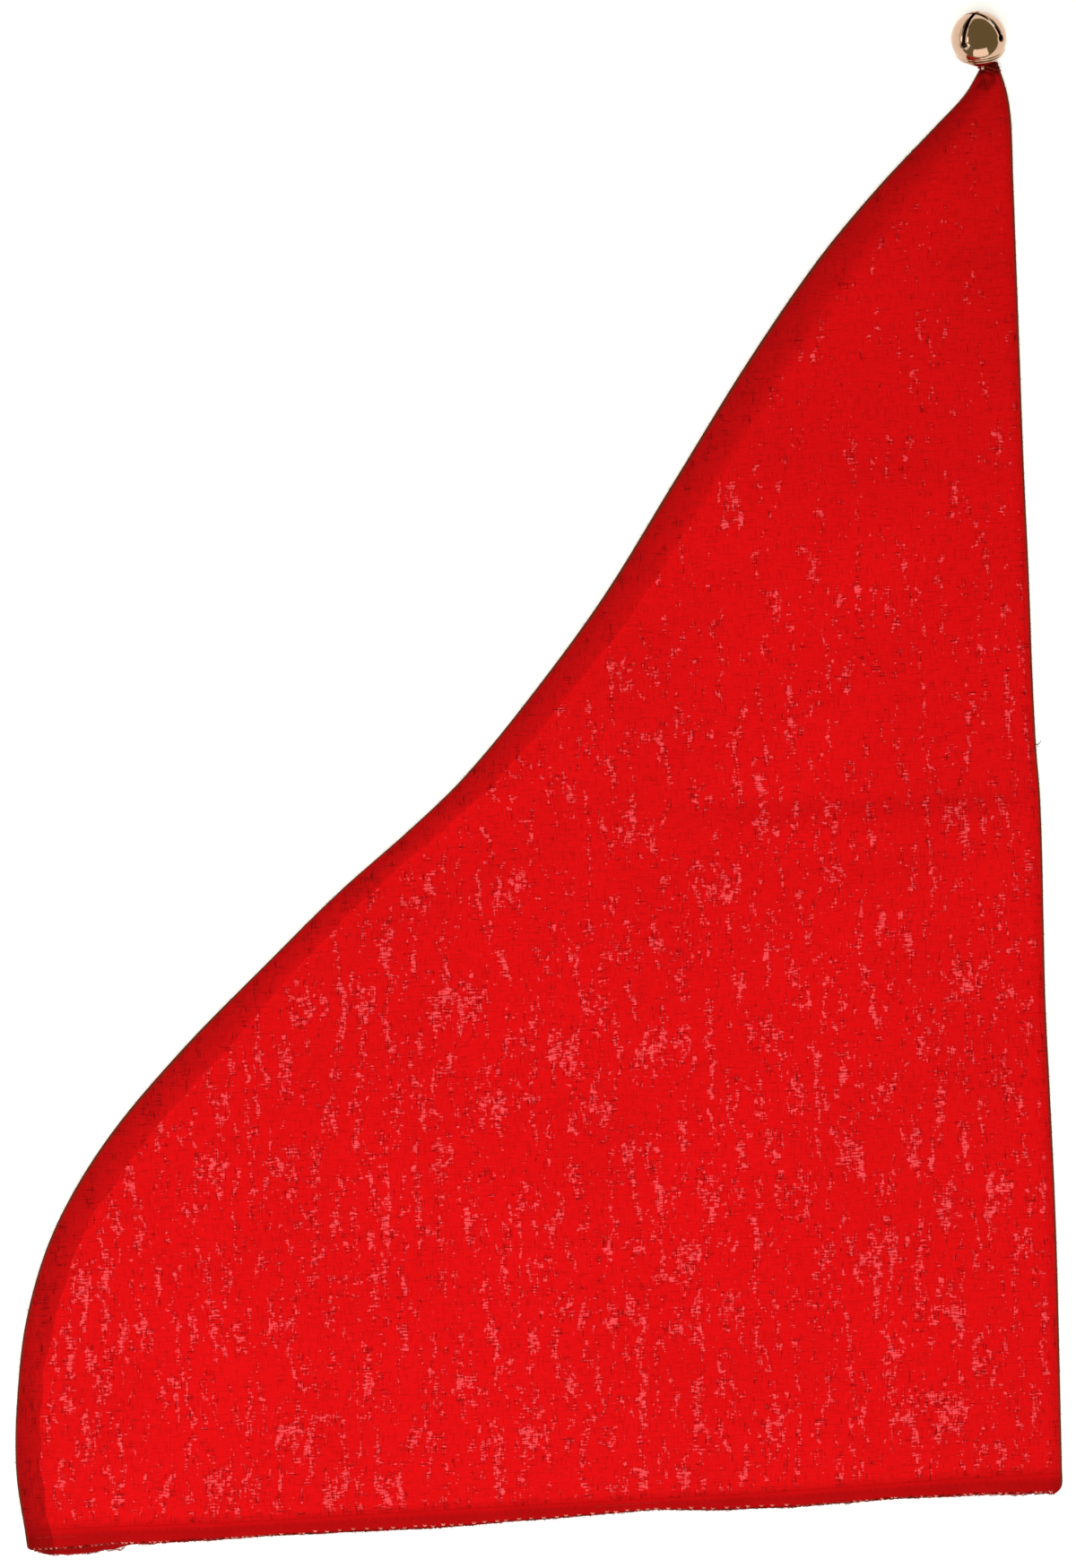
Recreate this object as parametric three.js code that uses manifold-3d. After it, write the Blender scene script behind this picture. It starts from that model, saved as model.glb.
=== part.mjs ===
// A pointed cloth hat with a small jingle bell sewn to its tip, lying on its side as it lies by itself.
// The cloth is one piece, folded along a straight edge and sewn to itself along an S-shaped seam.
// Millimetres, +Z up. +Y runs from the opening towards the tip, +X towards the folded edge.
// The origin is the middle of the footprint, on the surface that the hat lies on.
import * as THREE from "three";
import { mergeVertices } from "three/addons/utils/BufferGeometryUtils.js";
import Module from "manifold-3d";

// The hat laid flat
const HAT_HEIGHT = 397.8; // along the folded edge, from the brim to the tip
const BRIM_WIDTH = 290.6; // half of the opening's whole length round
const BRIM_SLANT = 5; // the brim's seam end lies this much lower than its folded end
const BRIM_BOW = 1.5; // the brim's middle lies this much higher than a straight line
const BOW_EASE = 120; // the bow has faded out this far above the brim
const LAY_TURN = 2.1; // degrees by which the folded edge leans from +Y
const PUFF = 9.5; // how far the upper ply rises over its edges where it stands highest

// The cloth and what is sewn from it
const CLOTH = 1.2; // one ply
const CLEARANCE = 0.3; // between two pieces that touch on the real hat
const HEM_HEIGHT = 5; // overlocked band round the opening
const HEM_WALL = 1.8; // its thickness, cloth and thread together
const HEM_GAP = 1; // between its two plies at both ends of the brim
const ALLOWANCE_WIDTH = 10; // the cloth turned inwards along the seam
const ALLOWANCE_THICK = 1.6; // its two plies pressed together
const FOLD_GAP = 0.8; // between the plies inside the folded edge
const EDGE_EASE = 50; // the edges ease from the hem's height to their own over this length
const PEEK = 2; // the lower ply's hem shows this much past the upper's at the seam corner
const PEEK_RUN = 27; // and for this length of the brim
const PEEK_FADE = 12; // before it fades over this length
const PEEK_REST = 0.4; // to this much along the rest

// The tip, sewn solid
const TIP_PLUG = 15; // length of the solid end
const TIP_FILL = 1.2; // turned-in cloth between the two plies
const TIP_ROUND = 0.9; // length of the rounded end
const TIP_TAPER = 0.35; // share by which the rounded end is smaller

// The jingle bell
const BELL_RADIUS = 7.8;
const BELL_WALL = 0.6;
const RIM_ANGLE = 124; // degrees from the slotted pole to where the cup and the cap are crimped together
const RIM_OUT = 0.2; // both stand out this much there
const RIM_LENGTH = 0.8; // over this length of each
const SLOT_WIDTH = 1.1;
const SLOT_ARMS = 4;
const SLOT_HOLE_RADIUS = 1.1; // round hole at the end of each slot arm
const SLOT_HOLE_ANGLE = 82; // degrees from the slotted pole
const SLOT_TURN = 53; // degrees from the bell's level line to the first slot arm
const PELLET_RADIUS = 2.5;
const LOOP_WIRE = 0.35; // half of the wire's thickness
const LOOP_ROOT = 0.2; // the loop's centre stands this much outside the bell
const BELL_TILT = 24; // degrees by which the slotted pole points up from the surface
const BELL_TURN = 118; // degrees from +X towards +Y, from the tip to the bell
const BELL_AXIS_TURN = 96.5; // the same for the slotted pole

// The thread that holds the bell
const THREAD_RADIUS = 0.3;
const STITCH_BACK = 1.9; // the stitch hole's distance from the tip's end

// Sections from the brim to the tip. at: share of HAT_HEIGHT along the folded edge.
// seam, fold: how far each edge lies from the fold's straight line, as shares of BRIM_WIDTH.
// puff: the share of PUFF by which the upper ply is raised there.
const SECTIONS = [
  { at: 0.0, seam: 0.995, fold: 0.0, puff: 0.74 },
  { at: 0.05, seam: 1.003, fold: -0.001, puff: 0.82 },
  { at: 0.1, seam: 1.0, fold: -0.002, puff: 0.89 },
  { at: 0.16, seam: 0.987, fold: -0.003, puff: 0.96 },
  { at: 0.22, seam: 0.957, fold: -0.003, puff: 1.0 },
  { at: 0.28, seam: 0.904, fold: -0.002, puff: 0.99 },
  { at: 0.34, seam: 0.829, fold: -0.001, puff: 0.96 },
  { at: 0.4, seam: 0.741, fold: -0.002, puff: 0.9 },
  { at: 0.445, seam: 0.673, fold: -0.003, puff: 0.85 },
  { at: 0.487, seam: 0.602, fold: -0.003, puff: 0.79 },
  { at: 0.52, seam: 0.551, fold: -0.001, puff: 0.74 },
  { at: 0.57, seam: 0.489, fold: 0.0, puff: 0.67 },
  { at: 0.64, seam: 0.412, fold: 0.0, puff: 0.57 },
  { at: 0.72, seam: 0.338, fold: 0.001, puff: 0.45 },
  { at: 0.8, seam: 0.264, fold: 0.001, puff: 0.33 },
  { at: 0.87, seam: 0.192, fold: 0.001, puff: 0.22 },
  { at: 0.92, seam: 0.13, fold: 0.001, puff: 0.12 },
  { at: 0.96, seam: 0.073, fold: 0.001, puff: 0.04 },
  { at: 0.98, seam: 0.045, fold: 0.004, puff: 0.01 },
  { at: 1.0, seam: 0.027, fold: 0.0115, puff: 0.0 },
];
const TIP_FROM = 0.9; // the edges ease to the tip's thickness from this share of HAT_HEIGHT on

// Creases pressed into the upper ply, from where the hat was packed folded. at: share of HAT_HEIGHT.
// depth: share of CREASE_DEPTH. from, to: where it runs, as shares of the way from the fold to the seam.
const CREASE_DEPTH = 1.1;
const CREASE_WIDTH = 7; // from its bottom to where it has faded
const CREASE_FADE = 0.12; // share of the way from the fold to the seam over which its ends fade
const CREASES = [
  { at: 0.487, depth: 1.0, from: 0.0, to: 0.72 },
  { at: 0.445, depth: 0.45, from: 0.1, to: 0.4 },
  { at: 0.72, depth: 0.4, from: 0.0, to: 0.5 },
];

// Form of a section
const CROWN_POWER = 0.8; // below 1 the crown is fuller than a plain arch
const CAP_LIMIT = 0.45; // a rounded edge takes no more than this share of a narrow section

// How finely curves are cut
const SPLITS = 2; // stations from one row of SECTIONS to the next
const NEAREST = 0.004; // no two stations are closer than this share of HAT_HEIGHT
const TOP_STEPS = 18;
const UNDER_STEPS = 8;
const CAP_STEPS = 5;
const BELL_SEGMENTS = 28;
const BELL_RING_DEGREES = 13;
const PELLET_SEGMENTS = 16;
const WIRE_SEGMENTS = 8;
const LOOP_SEGMENTS = 20;
const HOLE_SEGMENTS = 16;
const THREAD_STEPS = 40;

const wasm = await Module();
wasm.setup();

const mix = THREE.MathUtils.lerp;
const radians = THREE.MathUtils.degToRad;
const { smoothstep } = THREE.MathUtils;

function vec(x, y, z = 0) {
  return new THREE.Vector3(x, y, z);
}

function middleOf(points) {
  return points.reduce((sum, p) => sum.add(p), vec(0, 0)).divideScalar(points.length);
}

// A closed geometry as a solid that can be cut and joined.
function toSolid(geometry) {
  const bare = geometry.clone().deleteAttribute("normal").deleteAttribute("uv");
  const merged = mergeVertices(bare, 1e-4);
  const mesh = new wasm.Mesh({
    numProp: 3,
    vertProperties: new Float32Array(merged.attributes.position.array),
    triVerts: new Uint32Array(merged.index.array),
  });
  return new wasm.Manifold(mesh);
}

function toGeometry(solid) {
  const mesh = solid.getMesh();
  return new THREE.BufferGeometry()
    .setAttribute("position", new THREE.BufferAttribute(new Float32Array(mesh.vertProperties), 3))
    .setIndex(new THREE.BufferAttribute(new Uint32Array(mesh.triVerts), 1));
}

// A skin over rings that have the same count of points. An open skin gets a cap at each end.
function skin(rings, closed = false) {
  const count = rings[0].length;
  const points = rings.flat();
  const faces = [];
  const spans = closed ? rings.length : rings.length - 1;
  for (let r = 0; r < spans; r++) {
    const here = r * count;
    const next = ((r + 1) % rings.length) * count;
    for (let i = 0; i < count; i++) {
      const j = (i + 1) % count;
      faces.push(here + i, here + j, next + j, here + i, next + j, next + i);
    }
  }
  const capped = closed ? [] : [0, rings.length - 1];
  for (const r of capped) {
    const hub = points.push(middleOf(rings[r])) - 1;
    for (let i = 0; i < count; i++) {
      const edge = [r * count + i, r * count + ((i + 1) % count)];
      faces.push(hub, ...(r === 0 ? edge.reverse() : edge));
    }
  }
  return new THREE.BufferGeometry().setFromPoints(points).setIndex(faces);
}

// A column of SECTIONS at any share of the height, on a smooth curve through the rows.
function column(name, share) {
  const last = SECTIONS.length - 1;
  const above = SECTIONS.findIndex((row) => row.at > share);
  const k = above < 0 ? last - 1 : Math.max(0, above - 1);
  const slope = (n) => {
    const before = SECTIONS[Math.max(0, n - 1)];
    const after = SECTIONS[Math.min(last, n + 1)];
    return (after[name] - before[name]) / (after.at - before.at);
  };
  const [a, b] = [SECTIONS[k], SECTIONS[k + 1]];
  const step = b.at - a.at;
  const t = (share - a.at) / step;
  const ends = a[name] * (1 + 2 * t) * (1 - t) ** 2 + b[name] * t * t * (3 - 2 * t);
  return ends + step * t * (1 - t) * (slope(k) * (1 - t) - slope(k + 1) * t);
}

// How far a point of the brim's part is lifted towards the tip by the brim's bow.
function bowAt(share, across) {
  const fade = 1 - smoothstep(share * HAT_HEIGHT, 0, BOW_EASE);
  return BRIM_BOW * 4 * across * (1 - across) * fade;
}

// One station of the flat hat: its two ends in plan, and its heights there.
function station(share) {
  const up = share * HAT_HEIGHT;
  const fold = vec(-column("fold", share) * BRIM_WIDTH, up);
  const seam = vec(-column("seam", share) * BRIM_WIDTH, up - BRIM_SLANT * (1 - share));
  const ease = smoothstep(up, 0, EDGE_EASE);
  const end = smoothstep(share, TIP_FROM, 1);
  const hemHeight = 2 * HEM_WALL + HEM_GAP;
  const foldHeight = 2 * CLOTH + FOLD_GAP;
  const seamHeight = 2 * CLOTH + ALLOWANCE_THICK + 2 * CLEARANCE;
  return {
    fold,
    seam,
    width: fold.distanceTo(seam),
    along: seam.clone().sub(fold).normalize(),
    foldHeight: mix(mix(hemHeight, foldHeight, ease), tipHeight(), end),
    seamHeight: mix(mix(Math.max(hemHeight, seamHeight), seamHeight, ease), tipHeight(), end),
    puff: Math.max(0, column("puff", share)) * PUFF,
  };
}

// The seam's direction in plan at a share, from the brim towards the tip.
function seamDirection(share) {
  const low = station(Math.max(0, share - NEAREST));
  const high = station(Math.min(1, share + NEAREST));
  return high.seam.sub(low.seam).normalize();
}

// How deep the creases are at a share of the height and a share of the way from fold to seam.
function creaseDepth(share, across) {
  return CREASES.reduce((sum, crease) => {
    const away = Math.abs((share - crease.at) * HAT_HEIGHT) / CREASE_WIDTH;
    const start = smoothstep(across, crease.from - CREASE_FADE, crease.from + CREASE_FADE);
    const stop = 1 - smoothstep(across, crease.to - CREASE_FADE, crease.to + CREASE_FADE);
    return sum + CREASE_DEPTH * crease.depth * start * stop * Math.max(0, 1 - away) ** 2;
  }, 0);
}

// The ring of one station, inset from the outer skin: under side, seam edge, upper side, folded edge.
function sectionRing(share, inset) {
  const s = station(share);
  // A section cuts the seam aslant, so the rounded seam edge is longer in the section than it is thick.
  const lean = 1 / Math.abs(s.along.clone().cross(seamDirection(share)).z);
  const foldCap = Math.min(s.foldHeight / 2, CAP_LIMIT * s.width);
  const seamCap = Math.min((s.seamHeight / 2) * lean, CAP_LIMIT * s.width);
  const flat = s.width - foldCap - seamCap;
  const at = (along, z) => {
    const point = s.fold.clone().addScaledVector(s.along, along).setZ(z);
    return point.setY(point.y + bowAt(share, along / s.width));
  };
  const ring = [];
  for (let i = 0; i < UNDER_STEPS; i++) {
    ring.push(at(foldCap + (flat * i) / UNDER_STEPS, inset));
  }
  for (let i = 0; i < CAP_STEPS; i++) {
    const turn = (Math.PI * i) / CAP_STEPS;
    const out = Math.sin(turn) * (seamCap - inset * lean);
    const rise = -Math.cos(turn) * (s.seamHeight / 2 - inset);
    ring.push(at(s.width - seamCap + out, s.seamHeight / 2 + rise));
  }
  for (let i = 0; i < TOP_STEPS; i++) {
    const t = i / TOP_STEPS;
    const edge = mix(s.seamHeight, s.foldHeight, t);
    const crown = s.puff * Math.sin(Math.PI * t) ** CROWN_POWER;
    const crease = Math.min(creaseDepth(share, 1 - t), crown / 2);
    ring.push(at(s.width - seamCap - flat * t, edge + crown - crease - inset));
  }
  for (let i = 0; i < CAP_STEPS; i++) {
    const turn = (Math.PI * i) / CAP_STEPS;
    const out = Math.sin(turn) * (foldCap - inset);
    const rise = Math.cos(turn) * (s.foldHeight / 2 - inset);
    ring.push(at(foldCap - out, s.foldHeight / 2 + rise));
  }
  return ring;
}

// Shares of the stations from one share to another.
function stationShares(from, to) {
  const between = [];
  for (let i = 0; i < SECTIONS.length - 1; i++) {
    for (let k = 0; k < SPLITS; k++) {
      between.push(mix(SECTIONS[i].at, SECTIONS[i + 1].at, k / SPLITS));
    }
  }
  return [from, ...between.filter((s) => s > from + NEAREST && s < to - NEAREST), to];
}

function tipHeight() {
  return 2 * CLOTH + TIP_FILL;
}

// The way that the tip points in plan.
function tipDirection() {
  const [behind, end] = [station(1 - 8 * NEAREST), station(1)];
  return middleOf([end.fold, end.seam]).sub(middleOf([behind.fold, behind.seam])).normalize();
}

// The middle of the tip's end in plan.
function tipEnd() {
  const end = station(1);
  return middleOf([end.fold, end.seam]).addScaledVector(tipDirection(), TIP_ROUND);
}

// Where the bell's thread passes through the tip, from edge to edge.
function stitchPlace() {
  const forwards = tipDirection();
  const centre = tipEnd().addScaledVector(forwards, -STITCH_BACK).setZ(tipHeight() / 2);
  const share = Math.min(1, 1 - (STITCH_BACK - TIP_ROUND) / HAT_HEIGHT);
  return { centre, forwards, across: vec(forwards.y, -forwards.x), halfWidth: station(share).width / 2 };
}

// The whole cloth body: one thin wall round an open hollow, sewn solid at the tip.
function hatShell() {
  const start = (HEM_HEIGHT + CLEARANCE) / HAT_HEIGHT;
  const plug = 1 - TIP_PLUG / HAT_HEIGHT;
  const inside = stationShares(start, plug).reverse().map((share) => sectionRing(share, CLOTH));
  const outside = stationShares(start, 1).map((share) => sectionRing(share, 0));
  const end = outside[outside.length - 1];
  const beyond = tipDirection().multiplyScalar(TIP_ROUND);
  const rounded = end.map((p) => p.clone().lerp(middleOf(end), TIP_TAPER).add(beyond));
  const shell = toSolid(skin([...inside, ...outside, rounded]));
  const stitch = stitchPlace();
  const radius = THREAD_RADIUS + CLEARANCE;
  const hole = new THREE.CylinderGeometry(radius, radius, 4 * stitch.halfWidth, HOLE_SEGMENTS);
  hole.rotateZ(Math.PI / 2 + Math.atan2(stitch.across.y, stitch.across.x));
  hole.translate(stitch.centre.x, stitch.centre.y, stitch.centre.z);
  return toGeometry(shell.subtract(toSolid(hole)));
}

// How far the hem's edge is let down at a point of the brim: the lower ply shows past the upper.
function peekAt(point) {
  const fromSeam = point.x - station(0).seam.x;
  const run = 1 - smoothstep(fromSeam, PEEK_RUN, PEEK_RUN + PEEK_FADE);
  const under = 1 - smoothstep(point.z, HEM_WALL, 2 * HEM_WALL + HEM_GAP);
  return under * mix(PEEK_REST, PEEK, run);
}

// The overlocked band that closes the cloth's edge round the opening.
function hemBand() {
  const rise = HEM_HEIGHT / HAT_HEIGHT;
  const letDown = (ring) => ring.map((p) => p.setY(p.y - peekAt(p)));
  const inside = [sectionRing(rise, HEM_WALL), letDown(sectionRing(0, HEM_WALL))];
  const outside = [letDown(sectionRing(0, 0)), sectionRing(rise, 0)];
  return skin([...inside, ...outside], true);
}

// The two plies turned inwards along the seam, pressed together, lying on the lower ply.
function seamAllowance() {
  const start = (HEM_HEIGHT + 2 * CLEARANCE) / HAT_HEIGHT;
  const end = 1 - (TIP_PLUG + ALLOWANCE_WIDTH) / HAT_HEIGHT;
  const low = CLOTH + CLEARANCE;
  const high = low + ALLOWANCE_THICK;
  const rings = stationShares(start, end).map((share) => {
    const s = station(share);
    const direction = seamDirection(share);
    const inwards = vec(direction.y, -direction.x);
    const at = (away, z) => {
      const point = s.seam.clone().addScaledVector(inwards, away).setZ(z);
      return point.setY(point.y + bowAt(share, 1 - away / s.width));
    };
    const full = s.seamHeight / 2 + CLEARANCE;
    const nose = at(low + CLEARANCE, (low + high) / 2);
    return [at(ALLOWANCE_WIDTH, low), at(full, low), nose, at(full, high), at(ALLOWANCE_WIDTH, high)];
  });
  return skin(rings);
}

// A dome round its pole on +Z, down to an angle, with its edge standing out where it is crimped.
function bellDome(degrees) {
  const inner = BELL_RADIUS - BELL_WALL;
  const edge = radians(degrees) - CLEARANCE / 2 / inner;
  const rim = edge - RIM_LENGTH / BELL_RADIUS;
  const rings = Math.round(degrees / BELL_RING_DEGREES);
  const at = (radius, angle) => new THREE.Vector2(radius * Math.sin(angle), radius * Math.cos(angle));
  const arc = (radius, end) => Array.from({ length: rings }, (_, i) => at(radius, (end * (rings - i)) / rings));
  const profile = [at(BELL_RADIUS + RIM_OUT, edge), at(BELL_RADIUS + RIM_OUT, rim)];
  profile.push(...arc(BELL_RADIUS, rim), new THREE.Vector2(0, BELL_RADIUS));
  profile.push(new THREE.Vector2(0, inner), ...arc(inner, edge).reverse(), profile[0].clone());
  return toSolid(new THREE.LatheGeometry(profile, BELL_SEGMENTS).rotateX(Math.PI / 2));
}

// The cup with the crossed slots, each arm ending in a round hole.
function bellSlottedHalf() {
  const angle = radians(SLOT_HOLE_ANGLE);
  const length = BELL_RADIUS * Math.sin(angle);
  const foot = BELL_RADIUS * Math.cos(angle);
  const cuts = Array.from({ length: SLOT_ARMS }, (_, arm) => {
    const turn = radians(SLOT_TURN) + (arm * 2 * Math.PI) / SLOT_ARMS;
    const slot = new THREE.BoxGeometry(length, SLOT_WIDTH, BELL_RADIUS);
    slot.translate(length / 2, 0, foot + BELL_RADIUS / 2).rotateZ(turn);
    const hole = new THREE.CylinderGeometry(SLOT_HOLE_RADIUS, SLOT_HOLE_RADIUS, 4 * BELL_WALL, HOLE_SEGMENTS);
    hole.rotateX(Math.PI / 2).translate(0, 0, BELL_RADIUS - BELL_WALL / 2).rotateY(angle).rotateZ(turn);
    return toSolid(slot).add(toSolid(hole));
  });
  return toGeometry(cuts.reduce((cup, cut) => cup.subtract(cut), bellDome(RIM_ANGLE)));
}

// The loop's mid-wire radius: its eye lets the thread through with some clearance.
function loopRadius() {
  return 2 * THREAD_RADIUS + 2 * CLEARANCE + LOOP_WIRE - LOOP_ROOT;
}

// The cap with the wire loop, its pole on -Z.
function bellLoopHalf() {
  const loop = new THREE.TorusGeometry(loopRadius(), LOOP_WIRE, WIRE_SEGMENTS, LOOP_SEGMENTS);
  loop.rotateY(Math.PI / 2).translate(0, 0, BELL_RADIUS + LOOP_ROOT);
  const core = new THREE.SphereGeometry(BELL_RADIUS - BELL_WALL / 2, BELL_SEGMENTS, BELL_SEGMENTS / 2);
  const standing = toSolid(loop).subtract(toSolid(core));
  return toGeometry(bellDome(180 - RIM_ANGLE).add(standing)).rotateX(Math.PI);
}

// The bell's own axes in the hat's frame: x level, z to the slotted pole.
function bellAxes() {
  const turn = radians(BELL_AXIS_TURN);
  const tilt = radians(BELL_TILT);
  const z = vec(Math.cos(turn) * Math.cos(tilt), Math.sin(turn) * Math.cos(tilt), Math.sin(tilt));
  const x = vec(z.y, -z.x).normalize();
  return { x, y: z.clone().cross(x), z };
}

// The bell's middle: next to the tip's end, with the bell on the surface and its loop over the tip.
function bellMiddle() {
  const outer = BELL_RADIUS + RIM_OUT;
  const rimDepth = outer * Math.sin(radians(RIM_ANGLE - BELL_TILT));
  const height = Math.max(BELL_RADIUS, rimDepth);
  const overTip = Math.max(0, height - tipHeight());
  const away = Math.sqrt(Math.max(0, outer ** 2 - overTip ** 2)) + CLEARANCE;
  const turn = radians(BELL_TURN);
  return tipEnd().addScaledVector(vec(Math.cos(turn), Math.sin(turn)), away).setZ(height);
}

// The closed thread through the loop's eye, over the tip and through the stitch hole.
function tieThread() {
  const { x: level, z: axis } = bellAxes();
  const eye = bellMiddle().addScaledVector(axis, -BELL_RADIUS - THREAD_RADIUS - CLEARANCE);
  const { centre, across, halfWidth } = stitchPlace();
  const turnRoom = CLEARANCE + 2 * THREAD_RADIUS;
  const eyeSide = LOOP_WIRE + turnRoom;
  const tipSide = halfWidth + turnRoom;
  const over = tipHeight() / 2 + turnRoom;
  const tip = (side, rise) => centre.clone().addScaledVector(across, side).add(vec(0, 0, rise));
  const path = [
    eye,
    eye.clone().addScaledVector(level, eyeSide),
    tip(halfWidth / 2, over),
    tip(halfWidth, over),
    tip(tipSide, turnRoom),
    tip(tipSide, 0),
    tip(halfWidth / 2, 0),
    tip(-halfWidth / 2, 0),
    tip(-tipSide, 0),
    tip(-tipSide, turnRoom),
    eye.clone().addScaledVector(level, -eyeSide),
  ];
  const curve = new THREE.CatmullRomCurve3(path, true, "centripetal");
  return new THREE.TubeGeometry(curve, THREAD_STEPS, THREAD_RADIUS, WIRE_SEGMENTS, true);
}

// The steel ball, lying at the lowest place inside the bell.
function pellet() {
  const fall = BELL_RADIUS - BELL_WALL - PELLET_RADIUS - CLEARANCE;
  const { x, y, z } = bellMiddle();
  const ball = new THREE.SphereGeometry(PELLET_RADIUS, PELLET_SEGMENTS, PELLET_SEGMENTS * 0.75);
  return ball.rotateX(Math.PI / 2).translate(x, y, z - fall);
}

const cloth = new THREE.MeshStandardMaterial({ color: 0xe01719, roughness: 0.9 });
const foldedCloth = new THREE.MeshStandardMaterial({ color: 0xb00f10, roughness: 0.95 });
const thread = new THREE.MeshStandardMaterial({ color: 0xc41214, roughness: 0.7 });
const brass = new THREE.MeshStandardMaterial({ color: 0xe3b96f, roughness: 0.12, metalness: 1 });
const steel = new THREE.MeshStandardMaterial({ color: 0x9a9894, roughness: 0.3, metalness: 1 });

function piece(name, geometry, material) {
  const mesh = new THREE.Mesh(geometry, material.clone());
  mesh.name = name;
  return mesh;
}

const bell = new THREE.Group();
bell.add(piece("bell_slotted_half", bellSlottedHalf(), brass), piece("bell_loop_half", bellLoopHalf(), brass));
bell.position.copy(bellMiddle());
const { x: bellX, y: bellY, z: bellZ } = bellAxes();
bell.quaternion.setFromRotationMatrix(new THREE.Matrix4().makeBasis(bellX, bellY, bellZ));

const hat = new THREE.Group();
hat.add(
  piece("hat_shell", hatShell(), cloth),
  piece("hem_band", hemBand(), thread),
  piece("seam_allowance", seamAllowance(), foldedCloth),
  bell,
  piece("bell_pellet", pellet(), steel),
  piece("bell_thread", tieThread(), thread),
);
hat.rotation.z = radians(LAY_TURN);

// The footprint's middle goes to the origin.
const box = new THREE.Box3().setFromObject(hat, true);
const centre = box.getCenter(vec(0, 0));
hat.position.set(-centre.x, -centre.y, -box.min.z);

const part = new THREE.Group();
part.add(hat);

export default part;
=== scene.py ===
"""A pointed red cloth hat with a small jingle bell at its tip, lying flat on a pale floor.

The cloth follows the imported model's sections, and the model's boxes place it. Sizes are in
millimetres, apart from the camera, floor and lights.
"""

import random
from math import acos, asin, cos, pi, radians, sin, sqrt
from types import SimpleNamespace

import bmesh
import bpy
import numpy as np
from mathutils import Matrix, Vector


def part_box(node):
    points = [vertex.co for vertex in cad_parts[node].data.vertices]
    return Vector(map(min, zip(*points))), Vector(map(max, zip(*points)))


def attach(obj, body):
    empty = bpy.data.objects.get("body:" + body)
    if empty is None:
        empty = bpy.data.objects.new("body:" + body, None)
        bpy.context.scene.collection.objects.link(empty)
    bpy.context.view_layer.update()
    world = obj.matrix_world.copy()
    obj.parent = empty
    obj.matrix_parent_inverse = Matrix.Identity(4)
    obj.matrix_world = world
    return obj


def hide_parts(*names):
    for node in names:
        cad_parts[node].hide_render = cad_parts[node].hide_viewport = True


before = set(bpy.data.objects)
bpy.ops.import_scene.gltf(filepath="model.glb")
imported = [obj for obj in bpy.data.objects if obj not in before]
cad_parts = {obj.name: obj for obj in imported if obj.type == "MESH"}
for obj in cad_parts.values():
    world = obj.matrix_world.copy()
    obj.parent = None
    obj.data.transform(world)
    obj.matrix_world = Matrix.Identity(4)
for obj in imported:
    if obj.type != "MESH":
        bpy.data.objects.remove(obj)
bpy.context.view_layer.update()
MM = 0.001

# The hat laid flat
HAT_HEIGHT = 397.8
BRIM_WIDTH = 290.6
BRIM_SLANT = 5
BRIM_BOW = 1.5
BOW_EASE = 120
LAY_TURN = radians(2.1)
PUFF = 9.5
CLOTH = 1.2
CLEARANCE = 0.3
EDGE_EASE = 50
BRIM_FOLD_HEIGHT = 4.6
FOLD_HEIGHT = 3.2
SEAM_HEIGHT = 4.6
TIP_HEIGHT = 3.6
TIP_PLUG = 15
TIP_ROUND = 0.9
TIP_FROM = 0.9
TIP_RINGS = 4
STITCH_BACK = 1.9
CAP_LIMIT = 0.45
CROWN_POWER = 0.8
SLOPE_STEP = 0.004

# at: share of the height. seam, fold: how far the edges are from the fold's straight line, over the
# brim's width. puff: share of the upper ply's rise. band: width of the doubled cloth at the seam.
SECTIONS = dict(zip(("at", "seam", "fold", "puff", "band"), np.array([
    (0, 0.995, 0, 0.74, 7.8),
    (0.05, 1.003, -0.001, 0.82, 7.4),
    (0.1, 1, -0.002, 0.89, 7.2),
    (0.16, 0.987, -0.003, 0.96, 8.4),
    (0.22, 0.957, -0.003, 1, 9.4),
    (0.28, 0.904, -0.002, 0.99, 12),
    (0.34, 0.829, -0.001, 0.96, 13.4),
    (0.4, 0.741, -0.002, 0.9, 10.8),
    (0.445, 0.673, -0.003, 0.85, 10.3),
    (0.487, 0.602, -0.003, 0.79, 10.9),
    (0.52, 0.551, -0.001, 0.74, 11),
    (0.57, 0.489, 0, 0.67, 11),
    (0.64, 0.412, 0, 0.57, 12),
    (0.72, 0.338, 0.001, 0.45, 12.1),
    (0.8, 0.264, 0.001, 0.33, 12.8),
    (0.87, 0.192, 0.001, 0.22, 13.2),
    (0.92, 0.13, 0.001, 0.12, 12.5),
    (0.96, 0.073, 0.001, 0.04, 9),
    (0.98, 0.045, 0.004, 0.01, 6),
    (1, 0.027, 0.0115, 0, 4),
]).T))
BRIM_REACH = SECTIONS["seam"][0] * BRIM_WIDTH

# Packing creases: share of the height, depth, start and stop on the way from the fold to the seam
CREASE_DEPTH = 0.55
CREASE_WIDTH = 8
CREASE_FADE = 0.12
CREASES = [(0.487, 1, 0, 0.55), (0.445, 0.45, 0.1, 0.4), (0.72, 0.2, 0, 0.5), (0.865, 0.55, 0, 0.45)]

# Relief that only the looks need. Waves have a height, a length and a seed.
WAVE_COUNT = 7
BAND_RISE = 0.4
BAND_UNEVEN = (0.35, 9, 3)
BAND_LIMIT = 0.42
PUCKERS = (0.22, 9, 11)
PUCKER_FADE = 8
ROLLING = (0.55, 75, 21)
RIPPLES = (0.09, 14, 31)
GROOVE = 1.1
GROOVE_WIDTH = 0.09

# The hem's heights at the fold, in the middle and at the seam, and how far the cloth reaches into it
HEM_HEIGHTS = (4.8, 2.7, 4.2)
HEM_TUCK = 1.2

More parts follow.
